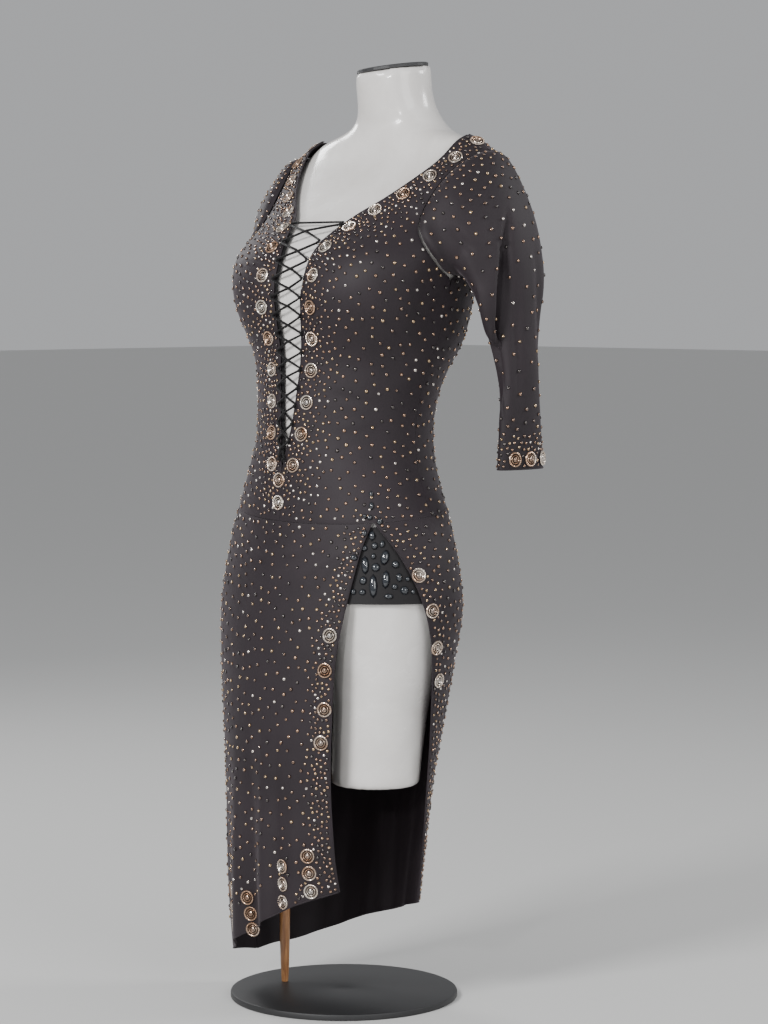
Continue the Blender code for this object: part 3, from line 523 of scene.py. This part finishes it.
wood = new_material("wood", (0.50, 0.24, 0.095), 0.38, Coat_Weight=0.25, Coat_Roughness=0.2)
where = add_node(wood, "ShaderNodeTexCoord")
along = add_node(wood, "ShaderNodeMapping", Scale=(60.0, 60.0, 5.0))
join(wood, where, "Object", along, "Vector")
fibre = add_node(wood, "ShaderNodeTexNoise", Scale=4.0, Detail=8.0, Roughness=0.62, Distortion=0.8)
join(wood, along, "Vector", fibre, "Vector")
tones = two_tones(wood, fibre, (0.35, (0.26, 0.105, 0.035)), (0.65, (0.58, 0.29, 0.12)))
join(wood, tones, "Color", shader_of(wood), "Base Color")
bumps(wood, fibre, "Fac", 0.2, 0.0004)

paint = new_material("base_black", (0.018, 0.018, 0.019), 0.48)
peel = add_node(paint, "ShaderNodeTexNoise", Scale=420.0, Detail=3.0)
bumps(paint, peel, "Fac", 0.25, 0.0004)

steel = new_material("steel", (0.42, 0.42, 0.43), 0.34, metallic=1.0)
brushed = add_node(steel, "ShaderNodeTexNoise", Scale=250.0, Detail=4.0)
rough = add_node(steel, "ShaderNodeMapRange", To_Min=0.25, To_Max=0.45)
join(steel, brushed, "Fac", rough, "Value")
join(steel, rough, "Result", shader_of(steel), "Roughness")


def turned_piece(name, node, profile, segments, material):
    """A lathe-turned solid on a node's axis, from radii and heights."""
    low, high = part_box(node)
    centre = ((low.x + high.x) / 2, (low.y + high.y) / 2)
    mesh = bpy.data.meshes.new(name)
    lathe = bmesh.new()
    line = [lathe.verts.new((centre[0] + radius, centre[1], height)) for radius, height in profile]
    edges = [lathe.edges.new(pair) for pair in zip(line, line[1:])]
    bmesh.ops.spin(lathe, geom=line + edges, cent=(*centre, 0.0), axis=(0, 0, 1), angle=math.tau,
                   steps=segments)
    bmesh.ops.remove_doubles(lathe, verts=lathe.verts, dist=1e-5)
    bmesh.ops.recalc_face_normals(lathe, faces=lathe.faces)
    lathe.to_mesh(mesh)
    lathe.free()
    piece = new_piece(name, mesh)
    mesh.materials.append(material)
    smooth(piece, 35)
    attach(piece, "root")
    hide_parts(node)


low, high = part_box("stand_base")
edge = (high.x - low.x) / 2
plate_profile = (
    # radius, height: rounded edges and a shallow seat round the post
    (0.0, 0.0), (edge - 0.0012, 0.0), (edge, 0.0012), (edge, high.z - 0.0022),
    (edge - 0.0007, high.z - 0.0007), (edge - 0.0022, high.z), (0.012, high.z),
    (0.0105, high.z - 0.0004), (0.0, high.z - 0.0004),
)
turned_piece("base_plate", "stand_base", plate_profile, 128, paint)
low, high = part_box("stand_post")
foot = low.z
head = high.z
post_profile = (
    # radius, height: a slow taper up to a bead under the flange
    (0.0, foot), (0.0040, foot), (0.0043, foot + 0.002), (0.0054, 0.030), (0.0062, 0.060),
    (0.0068, 0.120), (0.0080, 0.200), (0.0091, head - 0.014), (0.0086, head - 0.012),
    (0.0095, head - 0.009), (0.0095, head - 0.001), (0.0088, head), (0.0, head),
)
turned_piece("post", "stand_post", post_profile, 32, wood)
low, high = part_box("stand_flange")
edge = (high.x - low.x) / 2
flange_profile = (
    (0.0, low.z), (edge - 0.001, low.z), (edge, low.z + 0.001), (edge, high.z - 0.0004),
    (edge - 0.0006, high.z), (0.0, high.z),
)
turned_piece("flange", "stand_flange", flange_profile, 64, steel)


# ---------------------------------------------------------------- lacing
# One round black cord, crossed over the opening from its foot to the neckline. It runs through small
# thread loops worked on the turned edges of the fronts.

cord = new_material("cord", (0.006, 0.0055, 0.006), 0.62, Sheen_Weight=0.10, Sheen_Roughness=0.4,
                    Specular_IOR_Level=0.25)
where = add_node(cord, "ShaderNodeTexCoord")
braid = add_node(cord, "ShaderNodeTexWave", Scale=260.0, Distortion=3.0, Detail=1.0)
braid.bands_direction = "DIAGONAL"
join(cord, where, "Object", braid, "Vector")
bumps(cord, braid, "Fac", 0.5, 0.0004)
lacing = welded_copy("lacing", "lacing_cord", 1e-6)
cover(lacing, cord)
smooth(lacing, 80)
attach(lacing, "root")
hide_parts("lacing_cord")


# ---------------------------------------------------------------- medallions
# Stamped coppery discs, sewn on: a raised rim, a ring of small beads, a fine inner ring and a domed
# centre set with a stone. They follow the lacing and stand in rows at the slit, hem and cuffs.

MEDALLION_PROFILE = (
    # radius, height
    (0.00880, 0.0000), (0.00915, 0.0007), (0.00880, 0.0014), (0.00800, 0.0017), (0.00735, 0.0014),
    (0.00690, 0.0008), (0.00560, 0.0007), (0.00540, 0.0013), (0.00490, 0.0017), (0.00440, 0.0013),
    (0.00420, 0.0008), (0.00310, 0.0008), (0.00290, 0.0015), (0.00220, 0.0019), (0.00160, 0.0014),
    (0.00110, 0.0017), (0.0, 0.0019),
)
BEADS = 18              # in the ring on the rim
BEAD_RADIUS = 0.00105
BEAD_RING = 0.0080      # radius of the ring
BEAD_HEIGHT = 0.0014
GLUE = 0.0003           # a medallion's back stands this far off the cloth
# radius up to which a tone holds, and the tone: silver rims, blackened grooves
MEDALLION_TONES = (
    (0.0026, (0.46, 0.44, 0.43)), (0.00305, (0.72, 0.68, 0.64)), (0.0043, (0.07, 0.065, 0.06)),
    (0.0055, (0.80, 0.76, 0.71)), (0.0070, (0.09, 0.08, 0.075)), (0.0100, (0.82, 0.77, 0.71)),
)


def medallion_template():
    """Vertices and faces of one medallion lying on z = 0."""
    disc = bmesh.new()
    line = [disc.verts.new((radius, 0.0, height)) for radius, height in MEDALLION_PROFILE]
    base = disc.verts.new((0.0, 0.0, 0.0))
    line = [base] + line
    edges = [disc.edges.new(pair) for pair in zip(line, line[1:])]
    bmesh.ops.spin(disc, geom=line + edges, cent=(0, 0, 0), axis=(0, 0, 1), angle=math.tau, steps=24)
    bmesh.ops.remove_doubles(disc, verts=disc.verts, dist=1e-6)
    for bead in range(BEADS):
        turn = math.tau * bead / BEADS
        spot = (BEAD_RING * math.cos(turn), BEAD_RING * math.sin(turn), BEAD_HEIGHT)
        added = bmesh.ops.create_icosphere(disc, subdivisions=1, radius=BEAD_RADIUS)["verts"]
        bmesh.ops.translate(disc, verts=added, vec=spot)
    bmesh.ops.recalc_face_normals(disc, faces=disc.faces)
    disc.verts.index_update()
    vertices = np.array([v.co[:] for v in disc.verts])
    faces = [tuple(v.index for v in f.verts) for f in disc.faces]
    disc.free()
    return vertices, faces


def frames_from(normals, turns):
    """A turned right-handed frame on each normal: count x 3 x 3, its columns across, up and out."""
    helper = np.where(np.abs(normals[:, 2:3]) > 0.9, (1.0, 0.0, 0.0), (0.0, 0.0, 1.0))
    across = np.cross(helper, normals)
    across /= np.linalg.norm(across, axis=1)[:, None]
    up = np.cross(normals, across)
    cos = np.cos(turns)[:, None]
    sin = np.sin(turns)[:, None]
    return np.stack([across * cos + up * sin, up * cos - across * sin, normals], axis=2)


def many(name, template, centres, frames, sizes, material, tints=None, smooth_angle=None):
    """One joined mesh of a template repeated at every centre."""
    shape, faces = template
    count = len(centres)
    scaled = shape[None] * np.asarray(sizes, float).reshape(count, 1, -1)
    placed = np.einsum("nij,nkj->nki", frames, scaled) + centres[:, None, :]
    sides = [len(f) for f in faces]
    flat = np.array([i for f in faces for i in f])
    corner = (flat[None] + len(shape) * np.arange(count)[:, None]).ravel()
    mesh = bpy.data.meshes.new(name)
    mesh.vertices.add(count * len(shape))
    mesh.vertices.foreach_set("co", placed.ravel())
    mesh.loops.add(len(corner))
    mesh.loops.foreach_set("vertex_index", corner)
    starts = np.concatenate([[0], np.cumsum(np.tile(sides, count))[:-1]])
    mesh.polygons.add(len(starts))
    mesh.polygons.foreach_set("loop_start", starts)
    mesh.update(calc_edges=True)
    mesh.validate()
    if tints is not None:
        layer = mesh.color_attributes.new("tint", "FLOAT_COLOR", "POINT")
        if len(tints) == count:
            colours = np.repeat(np.column_stack([tints, np.ones(count)]), len(shape), axis=0)
        else:
            colours = np.tile(np.column_stack([tints, np.ones(len(shape))]), (count, 1))
        layer.data.foreach_set("color", colours.ravel())
    piece = new_piece(name, mesh)
    mesh.materials.append(material)
    if smooth_angle:
        smooth(piece, smooth_angle)
    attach(piece, "root")
    return piece


def on_cloth(point, names):
    """The nearest place on these cloth pieces, with its normal."""
    best = None
    for name in names:
        spot, normal, _, distance = open_skins[name]["tree"].find_nearest(Vector(point))
        if best is None or distance < best[2]:
            best = (spot, normal, distance)
    return best[0], best[1]


EXTRA_MEDALLIONS = (
    # x, y, z: down the centre under the lacing
    (-0.0035, -0.104, 0.6420), (-0.0030, -0.105, 0.6150),
    # along the slit's back edge
    (0.1619, -0.034, 0.5335), (0.1721, -0.021, 0.4912), (0.1674, -0.010, 0.4463), (0.1579, 0.0015, 0.4058),
    # along the slit's front edge
    (0.0890, -0.109, 0.4623), (0.0840, -0.111, 0.4209), (0.0829, -0.110, 0.3745), (0.0779, -0.110, 0.3346),
    # columns over the hem
    (0.0594, -0.1125, 0.1982), (0.0603, -0.111, 0.1776), (0.0611, -0.109, 0.1558),
    (0.0319, -0.118, 0.1826), (0.0326, -0.117, 0.1613), (0.0311, -0.116, 0.1392),
    (-0.0379, -0.116, 0.1356), (-0.0343, -0.116, 0.1163), (-0.0319, -0.115, 0.0956),
    (-0.0850, -0.102, 0.1330), (-0.0860, -0.102, 0.1110), (-0.0870, -0.102, 0.0890),
    (-0.1250, -0.050, 0.1200), (-0.1250, -0.050, 0.0980), (-0.1250, -0.050, 0.0760),
    # at the cuffs
    (0.2153, 0.075, 0.6680), (0.2180, 0.099, 0.6680), (0.2120, 0.124, 0.6680),
    (-0.2153, 0.075, 0.6680), (-0.2180, 0.099, 0.6680), (-0.2120, 0.124, 0.6680),
)
cloth_names = ("bodice_front_left", "bodice_front_right", "bodice_back", "sleeve_left", "sleeve_right",
               "skirt_front", "skirt_back")
medallion_nodes = sorted(n for n in nodes if n.startswith("medallion_"))
spots = []
outs = []
for name in medallion_nodes:
    low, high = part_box(name)
    spot, normal = on_cloth((low + high) / 2, ("bodice_front_left", "bodice_front_right"))
    spots.append(spot + normal * GLUE)
    outs.append(normal)
for point in EXTRA_MEDALLIONS:
    spot, normal = on_cloth(point, cloth_names)
    spots.append(spot + normal * GLUE)
    outs.append(normal)
medallion_spots = np.array(spots)
medallion_outs = np.array(outs)

copper = new_material("copper_trim", (0.62, 0.40, 0.27), 0.24, metallic=1.0)
tone = copper.node_tree.nodes.new("ShaderNodeVertexColor")
tone.layer_name = "tint"
where = add_node(copper, "ShaderNodeTexCoord")
tarnish = add_node(copper, "ShaderNodeTexNoise", Scale=18.0, Detail=4.0)
join(copper, where, "Object", tarnish, "Vector")
tones = two_tones(copper, tarnish, (0.42, (0.72, 0.52, 0.40)), (0.56, (1.0, 0.96, 0.92)))
blend = copper.node_tree.nodes.new("ShaderNodeVectorMath")
blend.operation = "MULTIPLY"
join(copper, tone, "Color", blend, 0)
join(copper, tones, "Color", blend, 1)
join(copper, blend, "Vector", shader_of(copper), "Base Color")
template = medallion_template()
from_middle = np.linalg.norm(template[0][:, :2], axis=1)
template_tones = np.array([next(tint for radius, tint in MEDALLION_TONES if reach <= radius)
                           for reach in from_middle])
turns = np.linspace(0.0, 5.0, len(medallion_spots))
medallions = many("medallions", template, medallion_spots, frames_from(medallion_outs, turns),
                  np.ones(len(medallion_spots)), copper, template_tones, smooth_angle=40)
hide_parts(*medallion_nodes)


# ---------------------------------------------------------------- stones
# Some thousands of small flat-backed crystals, glued on one by one: copper, bronze, gold and smoke, and a
# few near white whose colour is a painted sparkle.
# They crowd along the neckline, lacing, slit and cuffs and thin out to open ground elsewhere.

def stone_template(sides=8):
    """A flat-backed faceted stone of unit radius lying on z = 0."""
    turn = np.arange(sides) * math.tau / sides
    half = turn + math.pi / sides
    girdle = np.column_stack([np.cos(turn), np.sin(turn), np.full(sides, 0.0)])
    table = np.column_stack([0.56 * np.cos(half), 0.56 * np.sin(half), np.full(sides, 0.62)])
    vertices = np.concatenate([girdle, table])
    faces = [tuple(reversed(range(sides))), tuple(range(sides, 2 * sides))]
    for i in range(sides):
        j = (i + 1) % sides
        faces.append((i, j, sides + i))
        faces.append((sides + i, j, sides + j))
    return vertices, faces


def rim_points(name, keep):
    """Points along those of a piece's open edges that pass a test."""
    found = []
    for a, b in open_skins[name]["rim"]:
        middle = (a + b) / 2
        if keep(middle):
            found.append(middle)
    return found


def tree_of(points):
    tree = KDTree(len(points))
    for index, point in enumerate(points):
        tree.insert(point, index)
    tree.balance()
    return tree


neck_edge = []
for name, side in (("bodice_front_left", 1.0), ("bodice_front_right", -1.0)):
    neck_edge += rim_points(name, lambda p: p.z > 0.640 and (
        side * p.x < 0.024 or (p.z > 0.925 and p.y < 0.086 and side * p.x < 0.127)))
neck_tree = tree_of(neck_edge)
back_neck = rim_points("bodice_back", lambda p: p.z > 0.974 and abs(p.x) < 0.127)
slit_edge = rim_points("skirt_front", lambda p: p.x > 0.072 and p.z < 0.590)
slit_edge += rim_points("skirt_back", lambda p: p.x > 0.060 and p.y < 0.050 and p.z < 0.590)
cuff_edge = rim_points("sleeve_left", lambda p: p.z < 0.70)
cuff_edge += rim_points("sleeve_right", lambda p: p.z < 0.70)
all_rims = {name: tree_of([p for edge in open_skins[name]["rim"] for p in edge]) for name in cloth_names}
hem_edge = rim_points("skirt_front", lambda p: p.z < 0.155)
hem_edge += rim_points("skirt_back", lambda p: p.z < 0.135)
# edge, distance that stays crowded, spacing there, how fast the spacing grows beyond it
CROWDS = (
    (neck_tree, 0.024, 0.0052, 0.105),
    (tree_of(back_neck), 0.012, 0.0056, 0.20),
    (tree_of([p for p in slit_edge if p.y < -0.075]), 0.021, 0.0050, 0.30),
    (tree_of([p for p in slit_edge if p.y > -0.090]), 0.008, 0.0058, 0.115),
    (tree_of(cuff_edge), 0.032, 0.0054, 0.22),
)
slit_tree = tree_of(slit_edge)
hem_tree = tree_of(hem_edge)
HEM_BAND = 0.034            # the hem is left plain for this far, except beside the slit
SLIT_SIDE = 0.026
EDGE_CLEAR = 0.0032         # no stone lies nearer than this to an edge,
MEDALLION_CLEAR = 0.0114    # or to a medallion's centre
OPEN_SPACING = 0.0115
SLEEVE_SPACING = 0.0165
TRIES = 11                  # places tried for each stone that there is room for
medallion_tree = tree_of([Vector(p) for p in medallion_spots])
rng = np.random.default_rng(7)


def spacing_at(point, open_spacing):
    """How far apart the stones are round a point."""
    wanted = open_spacing
    for tree, crowded, spacing, growth in CROWDS:
        distance = tree.find(point)[2]
        wanted = min(wanted, spacing + growth * max(0.0, distance - crowded))
    return wanted


def scatter(name):
    """Places and normals of the stones on one piece of cloth, no two closer than the spacing there."""
    skin = open_skins[name]
    open_spacing = SLEEVE_SPACING if name.startswith("sleeve") else OPEN_SPACING
    corners = skin["place"][skin["triangles"]]
    sides = np.cross(corners[:, 1] - corners[:, 0], corners[:, 2] - corners[:, 0])
    areas = np.linalg.norm(sides, axis=1) / 2
    gaps = np.array([spacing_at(middle, open_spacing) for middle in corners.mean(axis=1)])
    share = areas / gaps**2
    count = int(share.sum() * TRIES)
    chosen = rng.choice(len(areas), count, p=share / share.sum())
    mix = rng.random((count, 2))
    flip = mix.sum(axis=1) > 1
    mix[flip] = 1 - mix[flip]
    a, b, c = corners[chosen].transpose(1, 0, 2)
    points = a + mix[:, :1] * (b - a) + mix[:, 1:] * (c - a)
    normal_of = skin["normal"][skin["triangles"][chosen]].mean(axis=1)
    kept = []
    cells = {}
    cell = OPEN_SPACING
    for index in range(count):
        point = points[index]
        gap = gaps[chosen[index]]
        key = (int(point[0] // cell), int(point[1] // cell), int(point[2] // cell))
        near = []
        reach = 2 if gap > cell else 1
        steps = range(-reach, reach + 1)
        for i in steps:
            for j in steps:
                for k in steps:
                    near += cells.get((key[0] + i, key[1] + j, key[2] + k), ())
        if near:
            apart = ((points[near] - point) ** 2).sum(axis=1)
            if apart.min() < gap * gap:
                continue
        if all_rims[name].find(point)[2] < EDGE_CLEAR:
            continue
        if medallion_tree.find(point)[2] < MEDALLION_CLEAR:
            continue
        if hem_tree.find(point)[2] < HEM_BAND and slit_tree.find(point)[2] > SLIT_SIDE:
            continue
        cells.setdefault(key, []).append(index)
        kept.append(index)
    normal = normal_of[kept]
    return points[kept], normal / np.linalg.norm(normal, axis=1)[:, None], gaps[chosen[kept]]


STONE_TONES_AND_SPARKLE = np.array((
    (0.38, 0.23, 0.15),
    (0.22, 0.14, 0.10),
    (0.52, 0.36, 0.21),
    (0.09, 0.075, 0.07),
    # near white: a painted sparkle, colour that stands in for stones glinting in the light
    (0.80, 0.72, 0.66),
))
TINT_SHARES = (0.28, 0.30, 0.20, 0.14, 0.08)
crystal = new_material("crystal_foil", (0.62, 0.40, 0.27), 0.10, metallic=0.85, Coat_Weight=1.0,
                       Coat_Roughness=0.02)
tint = crystal.node_tree.nodes.new("ShaderNodeVertexColor")
tint.layer_name = "tint"
join(crystal, tint, "Color", shader_of(crystal), "Base Color")
stone = stone_template()
CUTS = {
    # cut width, cut length, flat area, how it is held
    "bodice_front_left": (0.30, 0.48, 0.072, "stretched"),
    "bodice_front_right": (0.30, 0.48, 0.072, "stretched"),
    "bodice_back": (0.50, 0.42, 0.138, "stretched"),
    "sleeve_left": (0.30, 0.38, 0.078, "hung"),
    "sleeve_right": (0.30, 0.38, 0.078, "hung"),
    "skirt_front": (0.44, 0.56, 0.165, "hung"),
    "skirt_back": (0.54, 0.56, 0.215, "hung"),
}
for name in cloth_names:
    places, outs, gaps = scatter(name)
    count = len(places)
    tilted = outs + rng.normal(0.0, 0.09, (count, 3))
    tilted /= np.linalg.norm(tilted, axis=1)[:, None]
    radius = np.where(gaps < 0.009, 0.0021, 0.0024) * rng.uniform(0.88, 1.10, count)
    tints = STONE_TONES_AND_SPARKLE[rng.choice(len(STONE_TONES_AND_SPARKLE), count, p=TINT_SHARES)]
    tints = tints * rng.uniform(0.8, 1.15, (count, 1))
    frames = frames_from(tilted, rng.uniform(0, math.tau, count))
    glued = many(name + "_stones", stone, places + outs * 0.00015, frames, radius, crystal,
                 np.clip(tints, 0, 1))
    width, length, area, held = CUTS[name]


# ---------------------------------------------------------------- jewels
# Larger black glass jewels fill the top of the slit: rounds, ovals, drops and long baguettes, glued
# on the brief, with a few more climbing the bodice above the slit's point.

JEWELS = (
    # place along the diagonal that faces the slit, height, width, length, sides, turn in degrees
    (0.0344, 0.6285, 0.0065, 0.0085, 4, 0), (0.0346, 0.6148, 0.0068, 0.0105, 8, 0),
    (0.0268, 0.6025, 0.0050, 0.0068, 8, 0), (0.0327, 0.6013, 0.0072, 0.0072, 10, 0),
    (0.0444, 0.5968, 0.0075, 0.0100, 8, -12), (0.0372, 0.5935, 0.0080, 0.0080, 10, 0),
    (0.0262, 0.5830, 0.0082, 0.0090, 8, 0),
    (0.0354, 0.5800, 0.0100, 0.0150, 4, 0), (0.0385, 0.5680, 0.0085, 0.0095, 10, 0),
    (0.0475, 0.5700, 0.0065, 0.0100, 8, -20), (0.0262, 0.5652, 0.0088, 0.0080, 10, 0),
    (0.0140, 0.5545, 0.0105, 0.0080, 10, -15), (0.0272, 0.5455, 0.0100, 0.0225, 8, 4),
    (0.0370, 0.5560, 0.0068, 0.0080, 8, 0), (0.0398, 0.5430, 0.0112, 0.0112, 10, 0),
    (0.0506, 0.5545, 0.0110, 0.0190, 10, -12), (0.0631, 0.5465, 0.0100, 0.0100, 10, 0),
    (0.0249, 0.5275, 0.0098, 0.0110, 10, 0), (0.0368, 0.5212, 0.0105, 0.0290, 8, 2),
    (0.0516, 0.5290, 0.0098, 0.0225, 8, -3), (0.0675, 0.5312, 0.0080, 0.0115, 8, 0),
    (0.0774, 0.5292, 0.0068, 0.0068, 8, 0), (0.0134, 0.5142, 0.0078, 0.0078, 8, 0),
    (0.0240, 0.5140, 0.0095, 0.0078, 10, 0), (0.0620, 0.5205, 0.0085, 0.0078, 8, 0),
    (0.0550, 0.5094, 0.0120, 0.0068, 10, 0), (0.0737, 0.5163, 0.0110, 0.0110, 10, 0),
    (0.0836, 0.5144, 0.0058, 0.0068, 8, 0),
)


def seen_square(along, height, names):
    """Where a level line across the wearer's front left corner first meets the cloth."""
    slant = math.sqrt(0.5)
    start = Vector((along * slant + slant, along * slant - slant, height))
    best = None
    for name in names:
        spot, normal, _, distance = open_skins[name]["tree"].ray_cast(start, Vector((-slant, slant, 0.0)))
        if spot is not None and (best is None or distance < best[2]):
            best = (spot, normal, distance)
    return best[0], best[1]


black_glass = new_material("black_glass", (0.012, 0.014, 0.018), 0.04, Coat_Weight=1.0, Coat_Roughness=0.02)
cloud = add_node(black_glass, "ShaderNodeTexNoise", Scale=160.0, Detail=2.0)
tones = two_tones(black_glass, cloud, (0.0, (0.008, 0.009, 0.012)), (1.0, (0.030, 0.036, 0.045)))
join(black_glass, tones, "Color", shader_of(black_glass), "Base Color")
JEWEL_HEIGHT = 0.0046
under_jewels = ("bodice_front_left", "skirt_front", "skirt_back", "brief_front", "brief_back")
for sides in (4, 8, 10):
    rows = [row for row in JEWELS if row[4] == sides]
    spots = []
    outs = []
    for along, height, *_ in rows:
        spot, normal = seen_square(along, height, under_jewels)
        spots.append(spot + normal * 0.0002)
        outs.append(normal)
    sizes = np.array([(row[2] / 2, row[3] / 2, JEWEL_HEIGHT) for row in rows])
    turns = np.radians([row[5] for row in rows])
    frames = frames_from(np.array(outs), turns)
    many("jewels_%d" % sides, stone_template(sides), np.array(spots), frames, sizes, black_glass)


# ---------------------------------------------------------------- turned edges
# Neckline, lacing edges, slit, hem, cuffs and the side opening are turned in and stitched, which
# leaves a fine rounded edge a little thicker than the cloth.

def ordered_rims(name):
    """The open edges of a piece as chains of points, split at its corners."""
    links = {}
    for a, b in open_skins[name]["rim"]:
        key_a = tuple(round(c, 6) for c in a)
        key_b = tuple(round(c, 6) for c in b)
        links.setdefault(key_a, []).append(key_b)
        links.setdefault(key_b, []).append(key_a)
    left = set(links)
    chains = []
    while left:
        start = min(left)
        chain_points = [start]
        left.discard(start)
        while True:
            following = [k for k in links[chain_points[-1]] if k in left]
            if not following:
                break
            chain_points.append(following[0])
            left.discard(following[0])
        chains.append(np.array(chain_points))
    return chains


def tube(name, runs, radius, material, sides=8):
    """Round tubes along runs of points, joined in one mesh."""
    vertices = []
    faces = []
    for run in runs:
        tangent = np.gradient(run, axis=0)
        tangent /= np.linalg.norm(tangent, axis=1)[:, None]
        across = np.cross(tangent, (0.3, 0.2, 0.93))
        across /= np.linalg.norm(across, axis=1)[:, None]
        up = np.cross(tangent, across)
        start = len(vertices)
        for point, a, b in zip(run, across, up):
            for side in range(sides):
                turn = math.tau * side / sides
                vertices.append(point + radius * (a * math.cos(turn) + b * math.sin(turn)))
        for ring in range(len(run) - 1):
            for side in range(sides):
                i = start + ring * sides + side
                j = start + ring * sides + (side + 1) % sides
                faces.append((i, j, j + sides, i + sides))
        faces.append(tuple(start + side for side in reversed(range(sides))))
        last = start + (len(run) - 1) * sides
        faces.append(tuple(last + side for side in range(sides)))
    mesh = bpy.data.meshes.new(name)
    mesh.from_pydata([tuple(v) for v in vertices], [], faces)
    check = bmesh.new()
    check.from_mesh(mesh)
    bmesh.ops.recalc_face_normals(check, faces=check.faces)
    check.to_mesh(mesh)
    check.free()
    mesh.materials.append(material)
    piece = new_piece(name, mesh)
    smooth(piece, 50)
    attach(piece, "root")
    return piece


def free_runs(name, keep):
    """Stretches of a piece's rim that pass a test, as runs of points."""
    runs = []
    for chain_points in ordered_rims(name):
        passing = [keep(p) for p in chain_points]
        if all(passing):
            runs.append(np.concatenate([chain_points, chain_points[:1]]))
            continue
        first = passing.index(False)
        chain_points = np.roll(chain_points, -first, axis=0)
        passing = passing[first:] + passing[:first]
        run = []
        for point, ok in zip(chain_points, passing):
            if ok:
                run.append(point)
                continue
            if len(run) > 3:
                runs.append(np.array(run))
            run = []
        if len(run) > 3:
            runs.append(np.array(run))
    return runs


edge_runs = []
for name, side in (("bodice_front_left", 1.0), ("bodice_front_right", -1.0)):
    edge_runs += free_runs(name, lambda p: side * p[0] < 0.13 and neck_tree.find(p)[2] < 0.0035)
edge_runs += free_runs("bodice_back", lambda p: p[2] > 0.974 and abs(p[0]) < 0.1265)
SLIT_POINT = 0.592
edge_runs += free_runs("skirt_front", lambda p: p[2] < 0.20 or (p[0] > 0.072 and p[2] < SLIT_POINT))
edge_runs += free_runs("skirt_back", lambda p: p[2] < 0.17 or (
    p[0] > 0.060 and p[1] < 0.050 and p[2] < SLIT_POINT))
for name in ("sleeve_left", "sleeve_right"):
    edge_runs += free_runs(name, lambda p: p[2] < 0.70)
tube("turned_edges", edge_runs, 0.0009, jersey)


# ---------------------------------------------------------------- lacing tape, painted shade strip and loops
# A narrow black tape with thread loops is sewn under both laced edges. On the wearer's right it is made
# wider, so it
# shows past the edge as a dark strip: painted shade in the opening. The cord turns through one loop at each
# crossing.

def ribbon(name, run, shift, width, inward, material):
    """A flat tape under an edge, from the points of that edge in order of height."""
    vertices = []
    for point, normal in run:
        back = np.array(point) - np.array(normal) * inward
        vertices.append(back - np.array(shift) * 0.003)
        vertices.append(back + np.array(shift) * width)
    faces = [(2 * i, 2 * i + 1, 2 * i + 3, 2 * i + 2) for i in range(len(run) - 1)]
    mesh = bpy.data.meshes.new(name)
    mesh.from_pydata([tuple(v) for v in vertices], [], faces)
    mesh.materials.append(material)
    piece = new_piece(name, mesh)
    apply(piece, "SOLIDIFY", thickness=0.0007, offset=0.0)
    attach(piece, "root")
    return piece


# the wider tape on the wearer's right (5 mm) is a dark strip standing in for the shade in the opening
for name, sign, width in (("bodice_front_right", -1.0, 0.0050), ("bodice_front_left", 1.0, 0.0012)):
    edge = rim_points(name, lambda p: 0.664 < p.z < 0.940 and abs(p.x) < 0.040)
    edge.sort(key=lambda p: p.z)
    run = []
    for point in edge:
        if run and point.z - run[-1][0].z < 0.003:
            continue
        run.append((point, open_skins[name]["tree"].find_nearest(point)[1]))
    ribbon(name + "_lacing_tape_and_painted_shade", run, (-sign, 0.0, 0.0), width, 0.0018, cord)

cord_points = np.array([v.co[:] for v in lacing.data.vertices])
loop_runs = []
for height in np.linspace(cord_points[:, 2].min(), cord_points[:, 2].max(), 14):
    for sign in (-1.0, 1.0):
        near = cord_points[(np.abs(cord_points[:, 2] - height) < 0.006) & (cord_points[:, 0] * sign > 0)]
        if len(near):
            middle = near[(near[:, 0] * sign).argmax()]
            turn = np.linspace(0.0, math.tau, 17)
            loop_runs.append(np.column_stack([middle[0] - sign * 0.0012 + 0.0026 * np.cos(turn),
                                              np.full(17, middle[1]) + 0.0010 * np.cos(turn) * sign,
                                              middle[2] + 0.0019 * np.sin(turn)]))
tube("lacing_loops", loop_runs, 0.00045, cord, sides=6)


# ---------------------------------------------------------------- studio
# A plain pale floor under a pale grey world, a large soft key from the upper left, a fill, two rim
# lights and one small light for the stones.

bpy.ops.mesh.primitive_plane_add(size=60.0, location=(0.0, 0.0, 0.0))
floor = bpy.context.object
floor.name = "floor"
pale = new_material("pale_floor", (0.62, 0.62, 0.61), 0.7)
floor.data.materials.append(pale)
world = bpy.data.worlds.new("studio")
world.use_nodes = True
world.node_tree.nodes["Background"].inputs["Color"].default_value = (0.80, 0.81, 0.83, 1.0)
world.node_tree.nodes["Background"].inputs["Strength"].default_value = 0.55
bpy.context.scene.world = world


def soft_light(name, place, aim, power, size, colour=(1.0, 1.0, 1.0)):
    data = bpy.data.lights.new(name, "AREA")
    data.energy = power
    data.size = size
    data.color = colour
    lamp = new_piece(name, data)
    lamp.location = place
    lamp.rotation_euler = (Vector(aim) - Vector(place)).to_track_quat("-Z", "Y").to_euler()


soft_light("key", (0.2, -3.3, 2.4), (0.0, 0.0, 0.75), 120.0, 0.9)
soft_light("fill", (3.2, -0.6, 1.6), (0.0, 0.0, 0.7), 34.0, 1.6)
soft_light("rim_left", (-2.4, 0.4, 1.9), (0.0, 0.0, 0.8), 22.0, 0.7)
soft_light("rim_right", (1.6, 2.2, 2.0), (0.0, 0.0, 0.8), 30.0, 0.7)
soft_light("sparkle", (1.5, -2.7, 1.3), (0.0, 0.0, 0.7), 16.0, 0.12)
